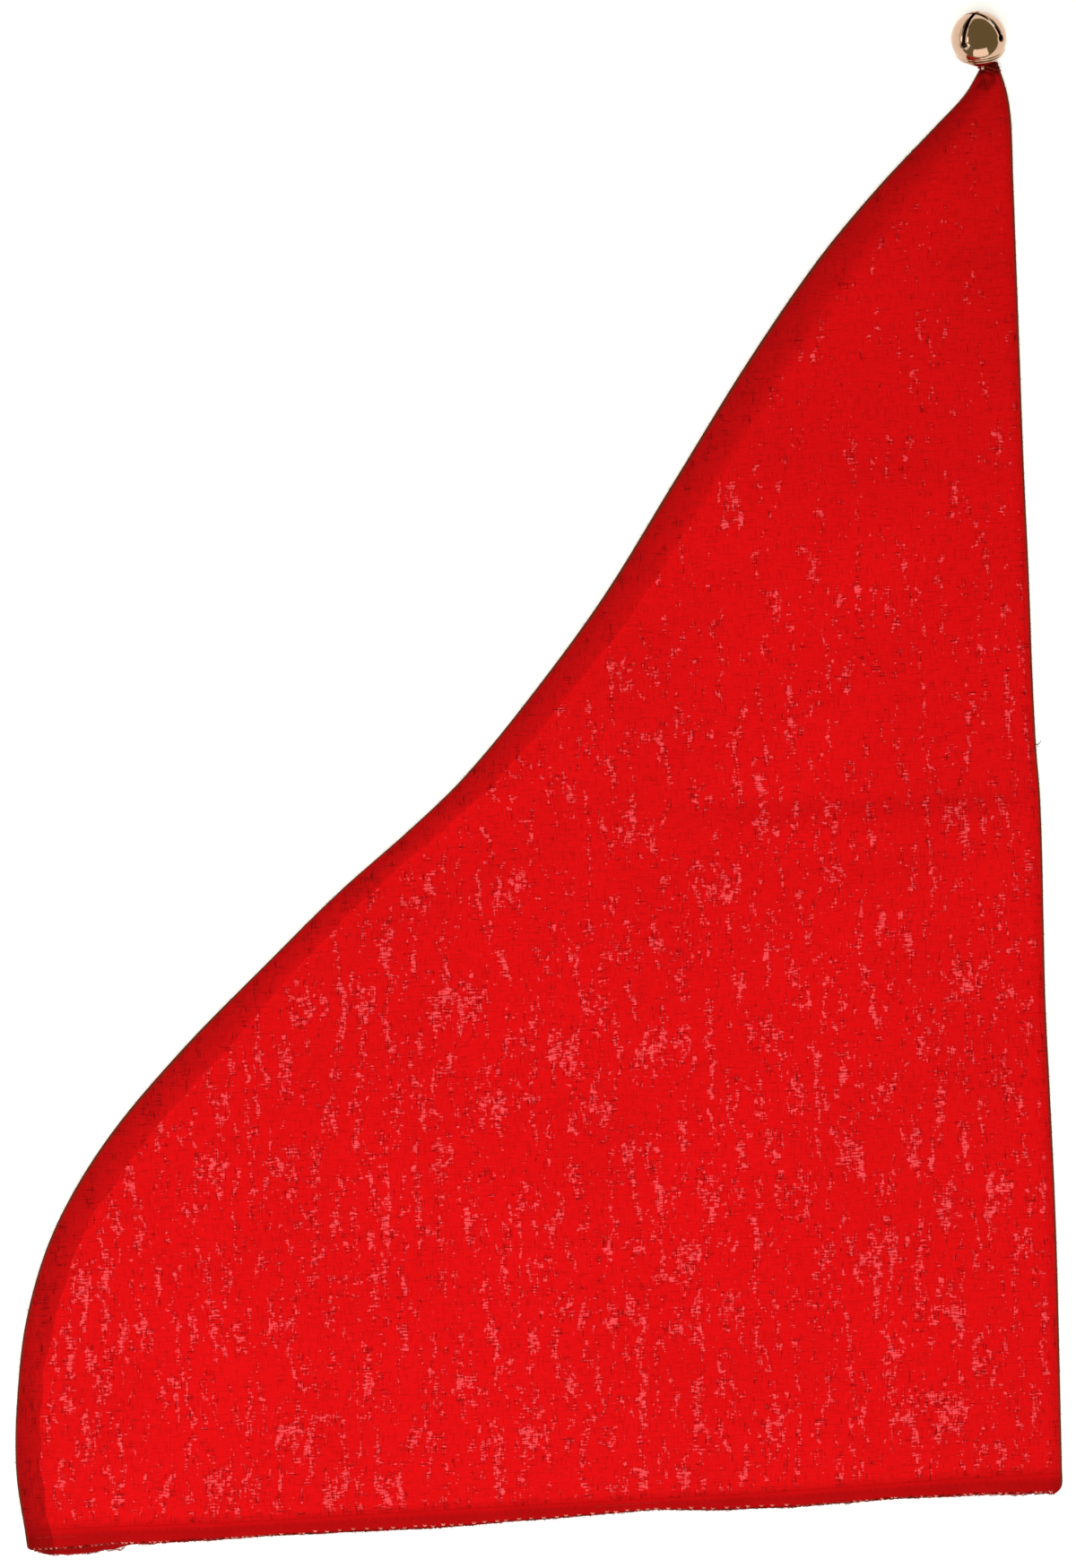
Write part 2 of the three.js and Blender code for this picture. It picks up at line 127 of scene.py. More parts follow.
# Shares of the height between which the doubled cloth's inner edge turns soft
SOFTENING = (0.62, 0.88)

# The tuck below the tip, which the stitches pull in, measured from the tip's end
TUCK_DEPTH = 0.5
TUCK_WIDTH = 1.35
TUCKS = [((0.2, -1), (0.6, -4.6)), ((0.6, -4.6), (-1.5, -7)), ((0.2, -5.2), (-3.4, -6.2))]

UNDER, SEAM, TOP, FOLD = range(4)

# Where the upper side's columns over the doubled cloth end, and those next to it
OVER_BAND, BESIDE_BAND = 0.09, 0.15

# Columns: under the hat, at each edge, and above it over the band, beside it and on the rest
BODY_COLUMNS = (30, 12, 9, 8, 124)
HEM_COLUMNS = (90, 12, 12, 10, 240)
BOX_COLUMNS = (8, 5, 2, 2, 16)

# Rows of the cloth: outside up to the tuck, from there on, and inside
BODY_ROWS, TUCK_FROM, TUCK_ROWS, INNER_ROWS = 290, 0.95, 40, 90


def part(value, low, high):
    return np.clip((value - low) / (high - low), 0, 1)


def smooth(value, low, high):
    t = part(value, low, high)
    return t * t * (3 - 2 * t)


def mix(a, b, t):
    return a + (b - a) * t


def column(name, share):
    """A column of SECTIONS at any share of the height, on a smooth curve."""
    at, values = SECTIONS["at"], SECTIONS[name]
    last = len(values) - 1
    rows = np.arange(last + 1)
    before, after = np.maximum(rows - 1, 0), np.minimum(rows + 1, last)
    slopes = (values[after] - values[before]) / (at[after] - at[before])
    k = np.clip(np.searchsorted(at, share, side="right") - 1, 0, last - 1)
    step = at[k + 1] - at[k]
    t = (share - at[k]) / step
    ends = values[k] * (1 + 2 * t) * (1 - t) ** 2 + values[k + 1] * t * t * (3 - 2 * t)
    return ends + step * t * (1 - t) * (slopes[k] * (1 - t) - slopes[k + 1] * t)


def edges(share):
    up = share * HAT_HEIGHT
    fold = -column("fold", share) * BRIM_WIDTH
    seam = -column("seam", share) * BRIM_WIDTH
    return fold, up, seam, up - BRIM_SLANT * (1 - share)


def station(share):
    """Sizes of the flat hat at shares of its height."""
    fold_x, fold_y, seam_x, seam_y = edges(share)
    width = np.hypot(seam_x - fold_x, seam_y - fold_y)
    low = edges(np.clip(share - SLOPE_STEP, 0, 1))
    high = edges(np.clip(share + SLOPE_STEP, 0, 1))
    run_x, run_y = high[2] - low[2], high[3] - low[3]
    run = np.hypot(run_x, run_y)
    along_x, along_y = (seam_x - fold_x) / width, (seam_y - fold_y) / width
    lean = 1 / np.abs(along_x * run_y / run - along_y * run_x / run)
    ease = smooth(share * HAT_HEIGHT, 0, EDGE_EASE)
    end = smooth(share, TIP_FROM, 1)
    fold_height = mix(mix(BRIM_FOLD_HEIGHT, FOLD_HEIGHT, ease), TIP_HEIGHT, end)
    seam_height = mix(SEAM_HEIGHT, TIP_HEIGHT, end)
    return SimpleNamespace(
        share=share, fold_x=fold_x, fold_y=fold_y, along_x=along_x, along_y=along_y, width=width, lean=lean,
        fold_height=fold_height, fold_cap=np.minimum(fold_height / 2, CAP_LIMIT * width),
        seam_height=seam_height, seam_cap=np.minimum(seam_height / 2 * lean, CAP_LIMIT * width),
        puff=np.maximum(0, column("puff", share)) * PUFF,
    )


def in_plan(s, along):
    across = along / s.width
    bow = BRIM_BOW * 4 * across * (1 - across) * (1 - smooth(s.share * HAT_HEIGHT, 0, BOW_EASE))
    return s.fold_x + s.along_x * along, s.fold_y + s.along_y * along + bow


def waves(x, y, height, length, seed):
    draw = random.Random(seed)
    total = np.zeros(np.broadcast(x, y).shape)
    for _ in range(WAVE_COUNT):
        turn = draw.uniform(0, pi)
        wave = length * draw.uniform(0.6, 1.7)
        shift = draw.uniform(0, 2 * pi)
        total = total + np.sin(2 * pi * (x * cos(turn) + y * sin(turn)) / wave + shift)
    return total * height / sqrt(WAVE_COUNT)


def band_width(s):
    """How far the doubled cloth reaches in from the seam's edge."""
    uneven = waves(s.share * HAT_HEIGHT, 0, *BAND_UNEVEN)
    return np.minimum(column("band", s.share) + uneven, BAND_LIMIT * s.width)


def crease_depth(share, across):
    total = 0 * share
    for at, depth, start, stop in CREASES:
        away = np.abs((share - at) * HAT_HEIGHT) / CREASE_WIDTH
        begun = smooth(across, start - CREASE_FADE, start + CREASE_FADE)
        left = 1 - smooth(across, stop - CREASE_FADE, stop + CREASE_FADE)
        total = total + CREASE_DEPTH * depth * begun * left * np.maximum(0, 1 - away) ** 2
    return total


def tuck(x, y):
    """How strong the tuck below the tip is: 1 along its middle."""
    end = tip_end()
    strongest = np.zeros(np.broadcast(x, y).shape)
    for start, stop in TUCKS:
        way = np.subtract(stop, start)
        dx, dy = x - end[0] - start[0], y - end[1] - start[1]
        t = np.clip((dx * way[0] + dy * way[1]) / (way @ way), 0, 1)
        away = np.hypot(dx - t * way[0], dy - t * way[1])
        strongest = np.maximum(strongest, np.exp(-((away / TUCK_WIDTH) ** 2)))
    return strongest


def relief(s, from_seam, across):
    """What the upper ply's fine relief adds to its height."""
    x, y = -s.width * (1 - across), s.share * HAT_HEIGHT
    from_fold = s.width - from_seam
    free = smooth(from_seam, 2, 30) * smooth(from_fold, 1, 25)
    band = band_width(s)
    soft = smooth(s.share, *SOFTENING)
    step = smooth(from_seam, band - 0.6 - 2 * soft, band + 0.9 + 3 * soft)
    welt = BAND_RISE * (1 - 0.6 * soft) * (1 - step)
    welt = welt * smooth(from_seam, s.seam_cap, s.seam_cap + 2.5)
    pucker = waves(y * s.lean, 0, *PUCKERS) * np.exp(-from_seam / PUCKER_FADE)
    pucker = pucker * smooth(from_seam, 0, s.seam_cap + 1)
    rolling = waves(x, y, *ROLLING) * free
    ripples = waves(x, y, *RIPPLES) * smooth(from_fold, 0, 4) * smooth(from_seam, 2, 8)
    tip = 1 - smooth(s.share, 0.97, 1)
    plan_x = s.fold_x + s.along_x * from_fold
    plan_y = s.fold_y + s.along_y * from_fold
    return (welt + pucker + rolling + ripples) * tip - TUCK_DEPTH * tuck(plan_x, plan_y)


def surface(zone, value, share, inset, fine=True):
    """Points of the hat's skin, inset from its outer face. value runs from 0 to 1 in a zone."""
    zone, value, share, inset = np.broadcast_arrays(zone, value, share, inset)
    s = station(share)
    width, seam_cap, fold_cap = s.width, s.seam_cap, s.fold_cap
    flat = width - fold_cap - seam_cap
    turn = pi * value

    notch = GROOVE * np.exp(-(((value - 0.5) / GROOVE_WIDTH) ** 2)) if fine else 0
    notch = notch * (1 - smooth(share, TIP_FROM, 1)) * (inset < CLOTH / 2)
    seam_out = np.sin(turn) * (seam_cap - inset * s.lean) - notch
    seam_z = s.seam_height / 2 - np.cos(turn) * (s.seam_height / 2 - inset)

    from_seam = top_distance(value, s, seam_cap, width - fold_cap)
    t = (from_seam - seam_cap) / flat
    edge = mix(s.seam_height, s.fold_height, t)
    crown = s.puff * np.sin(pi * np.clip(t, 0, 1)) ** CROWN_POWER
    crown = crown - np.minimum(crease_depth(share, 1 - t), crown / 2)
    top_z = edge + crown - inset
    if fine:
        top_z = top_z + relief(s, from_seam, 1 - from_seam / width)

    fold_out = np.sin(turn) * (fold_cap - inset)
    fold_z = s.fold_height / 2 + np.cos(turn) * (s.fold_height / 2 - inset)

    distances = [fold_cap + flat * value, width - seam_cap + seam_out, width - from_seam, fold_cap - fold_out]
    x, y = in_plan(s, np.choose(zone, distances))
    return np.stack([x, y, np.choose(zone, [inset, seam_z, top_z, fold_z])], -1)


def top_distance(value, s, start, stop):
    """The distance from the seam's edge on the upper side. Columns follow the band."""
    band = np.maximum(band_width(s), start + 0.05 * (stop - start))
    beside = np.minimum(1.7 * band, band + 0.3 * (stop - band))
    first = mix(start, band, part(value, 0, OVER_BAND))
    second = (beside - band) * part(value, OVER_BAND, BESIDE_BAND)
    return first + second + (stop - beside) * part(value, BESIDE_BAND, 1)


def around(under, caps, over, beside, rest):
    top = [OVER_BAND * i / over for i in range(over)]
    top += [mix(OVER_BAND, BESIDE_BAND, (i / beside) ** 1.5) for i in range(beside)]
    top += [mix(BESIDE_BAND, 1, i / rest) for i in range(rest)]
    columns = [(UNDER, i / under) for i in range(under)]
    columns += [(SEAM, i / caps) for i in range(caps)]
    columns += [(TOP, t) for t in top]
    columns += [(FOLD, i / caps) for i in range(caps)]
    zones, values = zip(*columns)
    return np.array(zones), np.array(values)


def turned(points):
    """Points of the hat's own frame turned as the hat lies."""
    points = np.asarray(points, float)
    x, y, z = np.moveaxis(points, -1, 0)
    return np.stack([x * cos(LAY_TURN) - y * sin(LAY_TURN), x * sin(LAY_TURN) + y * cos(LAY_TURN), z], -1)


def hat_offset():
    """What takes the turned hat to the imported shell's place."""
    zone, value = around(*BOX_COLUMNS)
    share = np.linspace(6 / HAT_HEIGHT, 1, 400)[:, None]
    points = turned(surface(zone, value, share, 0, fine=False)).reshape(-1, 3)
    low, high = (np.array(corner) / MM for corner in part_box("hat_shell"))
    middle = (low[0] + high[0] - points[:, 0].min() - points[:, 0].max()) / 2
    return np.array([middle, high[1] - turned(tip_end())[1], 0])


def tip_middles():
    fold_x, fold_y, seam_x, seam_y = edges(np.array([0.968, 1]))
    return np.stack([fold_x + seam_x, fold_y + seam_y], -1) / 2


def tip_direction():
    low, high = tip_middles()
    return (high - low) / np.linalg.norm(high - low)


def tip_end():
    return np.array([*(tip_middles()[1] + tip_direction() * TIP_ROUND), TIP_HEIGHT / 2])


OFFSET = hat_offset()


def placed(points):
    """Points of the hat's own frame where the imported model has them, in metres."""
    return (turned(points) + OFFSET) * MM


# The cloth's colour, the painted light through its weave, its painted shade between threads and at its edges,
# and the pitch of its threads
THREAD_PITCH = 0.7
RED = (0.655, 0.0026, 0.0042, 1)
WEAVE_LIGHT = (0.82, 0.067, 0.083, 1)
GAP_SHADE = (0.27, 0.0015, 0.0022, 1)
EDGE_SHADE_BROWN = (0.11, 0.016, 0.004, 1)

# Tone 0 is a dark strand, 1 a pale one, and HIDDEN the cloth's own colour
HIDDEN = 0.4
THREAD_DARK = (0.07, 0.012, 0.005, 1)
THREAD_RED = (0.38, 0.0035, 0.0045, 1)
THREAD_PALE = (0.78, 0.24, 0.19, 1)

# Sharper angles stay sharp on the bell
SHARP_ANGLE = radians(48)


def link(name, data):
    made = bpy.data.objects.new(name, data)
    bpy.context.scene.collection.objects.link(made)
    return made


def finished(name, data, material):
    data.validate()
    data.shade_smooth()
    data.materials.append(material)
    return link(name, data)


def make_mesh(name, points, faces, material):
    data = bpy.data.meshes.new(name)
    data.from_pydata(np.reshape(points, (-1, 3)), [], faces)
    return finished(name, data, material)


def ring_faces(rings, count, closed=False):
    """Faces over rings of points. An open skin gets a face over each end."""
    faces = []
    for r in range(rings if closed else rings - 1):
        here, there = r * count, ((r + 1) % rings) * count
        for i in range(count):
            j = (i + 1) % count
            faces.append((here + i, here + j, there + j, there + i))
    if not closed:
        last = (rings - 1) * count
        faces.append(tuple(reversed(range(count))))
        faces.append(tuple(range(last, last + count)))
    return faces


def give(piece, name, values, kind="FLOAT", field="value"):
    layer = piece.data.attributes.new(name, kind, "POINT")
    layer.data.foreach_set(field, np.asarray(values, np.float32).ravel())


def ride(piece, slot, *replaced):
    """Puts a piece on the one body, and hides the nodes that it stands for. Its slot is not used."""
    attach(piece, "root")
    if replaced:
        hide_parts(*replaced)


class Nodes:
    """A short way to write a material's nodes."""

    def __init__(self, name):
        self.material = bpy.data.materials.new(name)
        self.material.use_nodes = True
        self.tree = self.material.node_tree
        self.tree.nodes.clear()
        self.shader = self.tree.nodes.new("ShaderNodeBsdfPrincipled")
        output = self.tree.nodes.new("ShaderNodeOutputMaterial")
        self.tree.links.new(self.shader.outputs[0], output.inputs["Surface"])

    def put(self, kind, inputs=None, output=0, **settings):
        node = self.tree.nodes.new("ShaderNode" + kind)
        for key, value in settings.items():
            setattr(node, key, value)
        for key, value in (inputs or {}).items():
            self.join(value, node.inputs[key])
        return node.outputs[output]

    def join(self, value, socket):
        if isinstance(value, bpy.types.NodeSocket):
            self.tree.links.new(value, socket)
        else:
            socket.default_value = value

    def math(self, operation, a, b, kind="Math"):
        return self.put(kind, {0: a, 1: b}, operation=operation)

    def times(self, first, *others):
        for other in others:
            first = self.math("MULTIPLY", first, other)
        return first

    def plus(self, first, *others):
        for other in others:
            first = self.math("ADD", first, other)
        return first

    def minus(self, a, b):
        return self.math("SUBTRACT", a, b)

    def line(self, *values, kind="LINEAR"):
        names = ("Value", "From Min", "From Max", "To Min", "To Max")
        return self.put("MapRange", dict(zip(names, values)), interpolation_type=kind)

    def ramp(self, *values):
        return self.line(*values, kind="SMOOTHSTEP")

    def attribute(self, name, output="Fac"):
        return self.put("Attribute", output=output, attribute_name=name)

    def position(self):
        return self.put("NewGeometry", output="Position")

    def noise(self, place, size, shift=None, detail=2, rough=0.5, output="Fac"):
        """Noise whose features have these sizes along the axes."""
        if shift:
            place = self.math("ADD", place, shift, "VectorMath")
        place = self.math("MULTIPLY", place, [1 / length for length in size], "VectorMath")
        inputs = {"Vector": place, "Scale": 1, "Detail": detail, "Roughness": rough}
        return self.put("TexNoise", inputs, output)

    def tint(self, factor, low, high):
        return self.put("Mix", {0: factor, 6: low, 7: high}, 2, data_type="RGBA", clamp_factor=True)

    def shade(self, colour, factor):
        return self.put("VectorMath", {0: colour, "Scale": factor}, operation="SCALE")

    def bump(self, height, distance, strength):
        return self.put("Bump", {"Height": height, "Distance": distance, "Strength": strength})

    def finish(self, **sockets):
        for name, value in sockets.items():
            self.join(value, self.shader.inputs[name.replace("_", " ")])
        return self.material


def painted_edge_shade(n, band, from_fold, share):
    """Painted shade where the cloth lies doubled at the seam, darkest at the seam's edge and near the brim,
    and where it bends at the fold.
    """
    doubled = n.times(n.line(band, 0, 1, 0.62, 0.84), n.line(share, 0, 0.3, 0.78, 1))
    start = n.ramp(share, *SOFTENING, 0.985, 0.7)
    stop = n.ramp(share, *SOFTENING, 1.03, 1.4)
    tone = n.plus(doubled, n.times(n.ramp(band, start, stop), n.minus(1, doubled)))
    return n.times(tone, n.ramp(from_fold, 0.3, 4, 0.88, 1))


def with_painted_edge_line(n, colour, band, from_fold):
    """The colour with a thin dark brown line of painted shade at the cloth's very edges."""
    line = n.math("MINIMUM", n.ramp(band, 0.018, 0.058), n.ramp(from_fold, 0.08, 0.4))
    return n.tint(line, EDGE_SHADE_BROWN, colour)


def read_cloth(n, last):
    names = ("band", "from_fold", "share", last)
    return n.attribute("weave", "Vector"), *(n.attribute(name) for name in names)


def cloth_material():
    """A coarse plain weave with pale flecks of painted light shining through it. Its sizes on the cloth are
    in millimetres.
    """
    n = Nodes("red_cloth")
    place, band, from_fold, share, rise = read_cloth(n, "rise")

    # The threads, and a field whose highest parts get painted light through the weave
    drift = n.noise(place, (14, 16, 1), detail=3, rough=0.55, output="Color")
    sway = n.math("MULTIPLY", n.math("ADD", drift, (-0.5, -0.5, 0), "VectorMath"), (8, 4, 0), "VectorMath")
    wandering = n.math("ADD", place, sway, "VectorMath")
    columns = n.noise(wandering, (3.3, 15, 1), detail=1)
    patches = n.noise(wandering, (1.7, 3, 1), (40, 7, 0), rough=0.6)
    density = n.noise(place, (34, 40, 1), (11, 90, 0), detail=1)
    field = n.plus(n.times(columns, 0.62), n.times(patches, 0.62), n.times(density, 0.1))
    warp = n.noise(place, (THREAD_PITCH * 0.7, 2.4, 1), detail=1)
    weft = n.noise(place, (2, THREAD_PITCH * 0.7, 1), (5, 3, 0), detail=1)
    threads = n.plus(n.minus(warp, 0.5), n.times(n.minus(weft, 0.5), 1.3))
    level = n.plus(field, n.times(threads, 0.36))

    # Less painted light through the weave towards the tip, and none where the cloth is doubled or over the
    # hem
    limit = n.ramp(share, 0.28, 0.92, 0.751, 0.823)
    near = n.ramp(n.minus(field, n.minus(limit, 0.08)), 0, 0.06)
    light_through_weave = n.times(
        near, n.ramp(n.minus(level, limit), 0, 0.1), n.ramp(band, 0.98, 1.06), n.ramp(from_fold, 0.8, 2.5),
        n.ramp(rise, 0.5, 3), n.line(weft, 0.36, 0.56, 0.35, 1),
    )

    # Painted shade in the gaps between threads, most of it round the flecks of painted light
    shade_halo = n.times(near, n.minus(1, light_through_weave))
    lines = n.noise(place, (5, THREAD_PITCH * 0.6, 1), (70, 20, 0), detail=1)
    rows = n.noise(place, (THREAD_PITCH * 0.6, 4, 1), (20, 60, 0), detail=1)
    streaks = n.math("MAXIMUM", n.ramp(lines, 0.56, 0.7), n.ramp(rows, 0.56, 0.7))
    dark = n.plus(n.times(n.plus(n.times(shade_halo, 0.6), 0.4), streaks), n.times(shade_halo, 0.17))

    # Uneven dye, then the shade at the edges, creases, hem, tuck and tip
    mottle = n.noise(place, (0.8, 0.8, 1), rough=0.7)
    drifting = n.noise(place, (45, 60, 1))
    tone = n.times(
        n.plus(n.line(mottle, 0.2, 0.8, 0.93, 1.05), n.times(threads, 0.16)),
        n.line(drifting, 0.25, 0.75, 0.96, 1.04),
        painted_edge_shade(n, band, from_fold, share),
        n.line(n.attribute("crease"), 0, 0.55, 1, 0.86),
        n.ramp(rise, 0, 2.6, 0.82, 1),
        n.ramp(share, 0.58, 0.88, 1, 0.9),
        n.ramp(share, 0.9, 0.995, 1, 0.72),
        n.line(n.attribute("tuck"), 0.1, 0.8, 1, 0.55),
        n.ramp(share, 0.99, 0.996, 1, 0.22),
    )
    # The red with the painted light through the weave, then the painted shade between threads
    colour = n.tint(n.times(dark, 0.9), n.tint(light_through_weave, RED, WEAVE_LIGHT), GAP_SHADE)
    colour = with_painted_edge_line(n, n.shade(colour, tone), band, from_fold)
    normal = n.bump(n.plus(n.times(warp, 0.5), n.times(weft, 0.5)), 0.0002, 0.5)
    return n.finish(
        Base_Color=colour, Roughness=0.9, Normal=normal, Sheen_Weight=0.04, Sheen_Roughness=0.5,
        Sheen_Tint=(1, 0.3, 0.25, 1), Specular_IOR_Level=0.1,
    )


def hem_material():
    n = Nodes("hem_cloth")
    place, band, from_fold, share, lift = read_cloth(n, "lift")
    fine = n.noise(place, (0.6, 0.5, 1), rough=0.7)
    broad = n.noise(place, (14, 6, 1), detail=1)
    # Painted shade: the doubled hem darker than the cloth and darker again towards its lower edge, with the
    # cloth's painted shade at the seam and the fold
    tone = n.times(
        n.line(fine, 0.2, 0.8, 0.9, 1.08), n.line(broad, 0.3, 0.7, 0.94, 1.06),
        n.ramp(lift, 0.5, 1, 0.6, 0.82), n.ramp(lift, 0, 0.2, 0.7, 1), painted_edge_shade(n, band, from_fold, share),
    )
    colour = with_painted_edge_line(n, n.shade(RED[:3], tone), band, from_fold)
    normal = n.bump(fine, 0.0002, 0.5)
    return n.finish(Base_Color=colour, Roughness=0.9, Normal=normal, Specular_IOR_Level=0.1)


def thread_material():
    n = Nodes("red_thread")
    tone = n.attribute("tone")
    colour = n.tint(n.ramp(tone, 0, HIDDEN), THREAD_DARK, THREAD_RED)
    colour = n.tint(n.ramp(tone, 0.55, 0.95), colour, THREAD_PALE)
    grain = n.noise(n.position(), [0.0003] * 3, detail=1)
    colour = n.shade(colour, n.line(grain, 0.25, 0.75, 0.8, 1.15))
    normal = n.bump(grain, 0.0001, 0.4)
    return n.finish(Base_Color=colour, Roughness=0.9, Normal=normal, Specular_IOR_Level=0.08)


def metal_material():
    n = Nodes("bell_metal")
    place = n.position()
    spots = n.noise(place, [0.0006] * 3, detail=3, rough=0.6)
    colour = n.tint(n.ramp(spots, 0.6, 0.75), (0.53, 0.35, 0.25, 1), (0.45, 0.27, 0.18, 1))
    rough = n.line(spots, 0.3, 0.8, 0.07, 0.16)
    normal = n.bump(n.noise(place, [0.0035] * 3), 0.00018, 0.35)
    return n.finish(Base_Color=colour, Metallic=1, Roughness=rough, Normal=normal)


def steel_material():
    n = Nodes("pellet_steel")
    grain = n.noise(n.position(), [0.0005] * 3)
    colour = n.tint(grain, (0.35, 0.34, 0.32, 1), (0.5, 0.49, 0.47, 1))
    normal = n.bump(grain, 0.0001, 0.4)
    return n.finish(Base_Color=colour, Metallic=1, Roughness=0.38, Normal=normal)


def hem_heights(zone, value):
    points = surface(zone, value, 0, 0, fine=False)
    across = np.clip(-points[..., 0] / station(0).width, 0, 1)
    fold, middle, seam = HEM_HEIGHTS
    return mix(mix(fold, middle, smooth(across, 0, 0.35)), seam, smooth(across, 0.75, 1))


def attributes_of(piece, zone, value, share):
    """Gives a piece of cloth what its material reads."""
    zone, value, share = np.broadcast_arrays(zone, value, share)
    s = station(share)
    points = surface(zone, value, share, 0)
    along = np.hypot(points[..., 0] - s.fold_x, points[..., 1] - s.fold_y)
    side = np.where((zone == UNDER) | ((zone == SEAM) & (value < 0.5)), -1, 1)
    side = np.where((zone == FOLD) & (value > 0.5), -1, side)
    band = (s.width - along) / np.maximum(band_width(s), 0.1)
    band = np.where(zone == SEAM, 0.35 * band, band)
    weave = np.stack([side * along, points[..., 1], 0 * along], -1)
    give(piece, "weave", weave, "FLOAT_VECTOR", "vector")
    give(piece, "band", np.maximum(band, 0))
    give(piece, "from_fold", np.where(zone == FOLD, 0.4 * along, along))
    give(piece, "share", share)
    give(piece, "crease", np.where(zone == TOP, crease_depth(share, along / s.width), 0))
    give(piece, "tuck", np.where(zone == TOP, tuck(points[..., 0], points[..., 1]), 0))
    give(piece, "rise", share * HAT_HEIGHT - hem_heights(zone, value))


def cloth_body(material):
    """One thin wall, folded along one edge and sewn along the other."""
    zone, value = around(*BODY_COLUMNS)
    count = len(zone)
    start = np.maximum(hem_heights(zone, value) - HEM_TUCK, 0.5) / HAT_HEIGHT

    def rows(lifts, end):
        return start + (end - start) * lifts[:, None]

    lifts = np.concatenate([np.linspace(0, TUCK_FROM, BODY_ROWS)[:-1], np.linspace(TUCK_FROM, 1, TUCK_ROWS)])
    outer_share = rows(lifts, 1)
    inner_share = rows(np.linspace(0, 1, INNER_ROWS), 1 - TIP_PLUG / HAT_HEIGHT)[::-1]
    outside = surface(zone, value, outer_share, 0)
    inside = surface(zone, value, inner_share, CLOTH)
    end = outside[-1]
    middle = end.mean(0)
    forwards = np.array([*tip_direction(), 0])
    tips = []
    for angle in np.linspace(0, pi / 2, TIP_RINGS + 1)[1:]:
        narrow = max(0.02, cos(angle)) ** 0.5
        tips.append(middle + (end - middle) * narrow + forwards * TIP_ROUND * sin(angle))
    points = np.concatenate([inside, outside, tips])
    share = np.concatenate([inner_share, outer_share, np.ones((TIP_RINGS, count))])
    piece = make_mesh("hat_cloth", placed(points), ring_faces(len(points), count), material)
    attributes_of(piece, zone, value, share)
    ride(piece, "cloth", "hat_shell")
    return piece


class Strands:
    def __init__(self):
        self.points, self.faces, self.tones, self.count = [], [], [], 0

    def add(self, path, radius, tone=0.5, sides=5):
        path = np.asarray(path, float)
        steps = len(path)
        aside, above = sides_along(path)
        radii = np.broadcast_to(radius, steps)[:, None, None]
        angles = (np.arange(sides) * 2 * pi / sides)[:, None]
        outwards = np.cos(angles) * aside[:, None] + np.sin(angles) * above[:, None]
        self.points.append((path[:, None] + radii * outwards).reshape(-1, 3))
        for face in ring_faces(steps, sides):
            self.faces.append(tuple(self.count + i for i in face))
        self.tones.append(np.full(steps * sides, tone))
        self.count += steps * sides

    def piece(self, name, material, place):
        points = place(np.concatenate(self.points))
        # No strand dips under the floor
        points[:, 2] = np.maximum(points[:, 2], 0)
        made = make_mesh(name, points, self.faces, material)
        give(made, "tone", np.concatenate(self.tones))
        return made


def sides_along(path):
    """Two directions across a path at every step, which don't twist along it."""
    ahead = np.gradient(path, axis=0)
    ahead /= np.maximum(np.linalg.norm(ahead, axis=1), 1e-9)[:, None]
    start = np.cross(ahead[0], (0, 0, 1))
    if np.linalg.norm(start) < 0.05:
        start = np.cross(ahead[0], (1, 0, 0))
    sides = [start / np.linalg.norm(start)]
    for way in ahead[1:]:
        side = sides[-1] - way * np.dot(way, sides[-1])
        sides.append(side / max(np.linalg.norm(side), 1e-9))
    aside = np.array(sides)
    return aside, np.cross(ahead, aside)


def distances_along(path):
    return np.concatenate([[0], np.cumsum(np.linalg.norm(np.diff(path, axis=0), axis=1))])


def curve_through(points, steps):
    points = np.asarray(points, float)
    count = len(points)
    path = []
    for t in np.linspace(0, count, steps):
        i, u = int(t) % count, t - int(t)
        a, b, c, d = (points[(i + k) % count] for k in (-1, 0, 1, 2))
        bend = (2 * a - 5 * b + 4 * c - d) * u**2 + (3 * b - a - 3 * c + d) * u**3
        path.append(0.5 * (2 * b + (c - a) * u + bend))
    return np.array(path)


def plied(strands, path, radius, plies, pitch, tone):
    """A twisted thread along a path, out of several strands."""
    length = distances_along(path)
    fine = np.arange(0, length[-1], pitch / 8)
    path = np.stack([np.interp(fine, length, path[:, k]) for k in range(3)], -1)
    aside, above = sides_along(path)
    for ply in range(plies):
        angle = 2 * pi * (fine / pitch + ply / plies)
        swing = np.cos(angle)[:, None] * aside + np.sin(angle)[:, None] * above
        strands.add(path + swing * radius * 0.5, radius * 0.56, tone=tone + 0.06 * ply, sides=6)


def fibre(draw, root, way, length):
    way = np.add(way, [draw.gauss(0, spread) for spread in (0.7, 0.35, 0.4)])
    way /= np.linalg.norm(way)
    bend = np.array([draw.gauss(0, spread) for spread in (0.4, 0.4, 0.2)])
    path = np.array([root + length * (t * way + t * t * bend) for t in (0, 0.4, 0.75, 1)])
    path[:, 2] = np.maximum(path[:, 2], 0.05)
    return path


# The hem: the cut edge doubled, with overlock threads over it. At the seam corner the lower ply
# shows by PEEK past the upper one, over the first PEEK_RUN of the brim.
PEEK = 1.75
PEEK_RUN = 26
PEEK_REST = 0.3
FOLD_CORNER = 2.5
SEAM_CORNER = 1.6
HEM_FLOOR = 0.04
RAGGED = [(0.16, 2.4, 41), (0.22, 11, 42)]
SLACK = (0.1, 16, 43)

# The hem's section: 0 at its lower edge and 1 at its top, and how far out it stands
HEM_PROFILE = [
    (1, -0.35), (1.01, 0), (0.985, 0.08), (0.93, 0.15), (0.84, 0.21), (0.72, 0.26), (0.6, 0.29),
    (0.4, 0.3), (0.22, 0.28), (0.1, 0.2), (0.03, 0.02), (0, -0.35), (0, -0.9), (0.02, -1.3),
    (0.1, -1.65), (0.3, -1.8), (0.65, -1.8), (1, -1.75), (1, -1.4),
]
HEM_SWELL = 0.035
HEM_SWELL_PITCH = 3.1

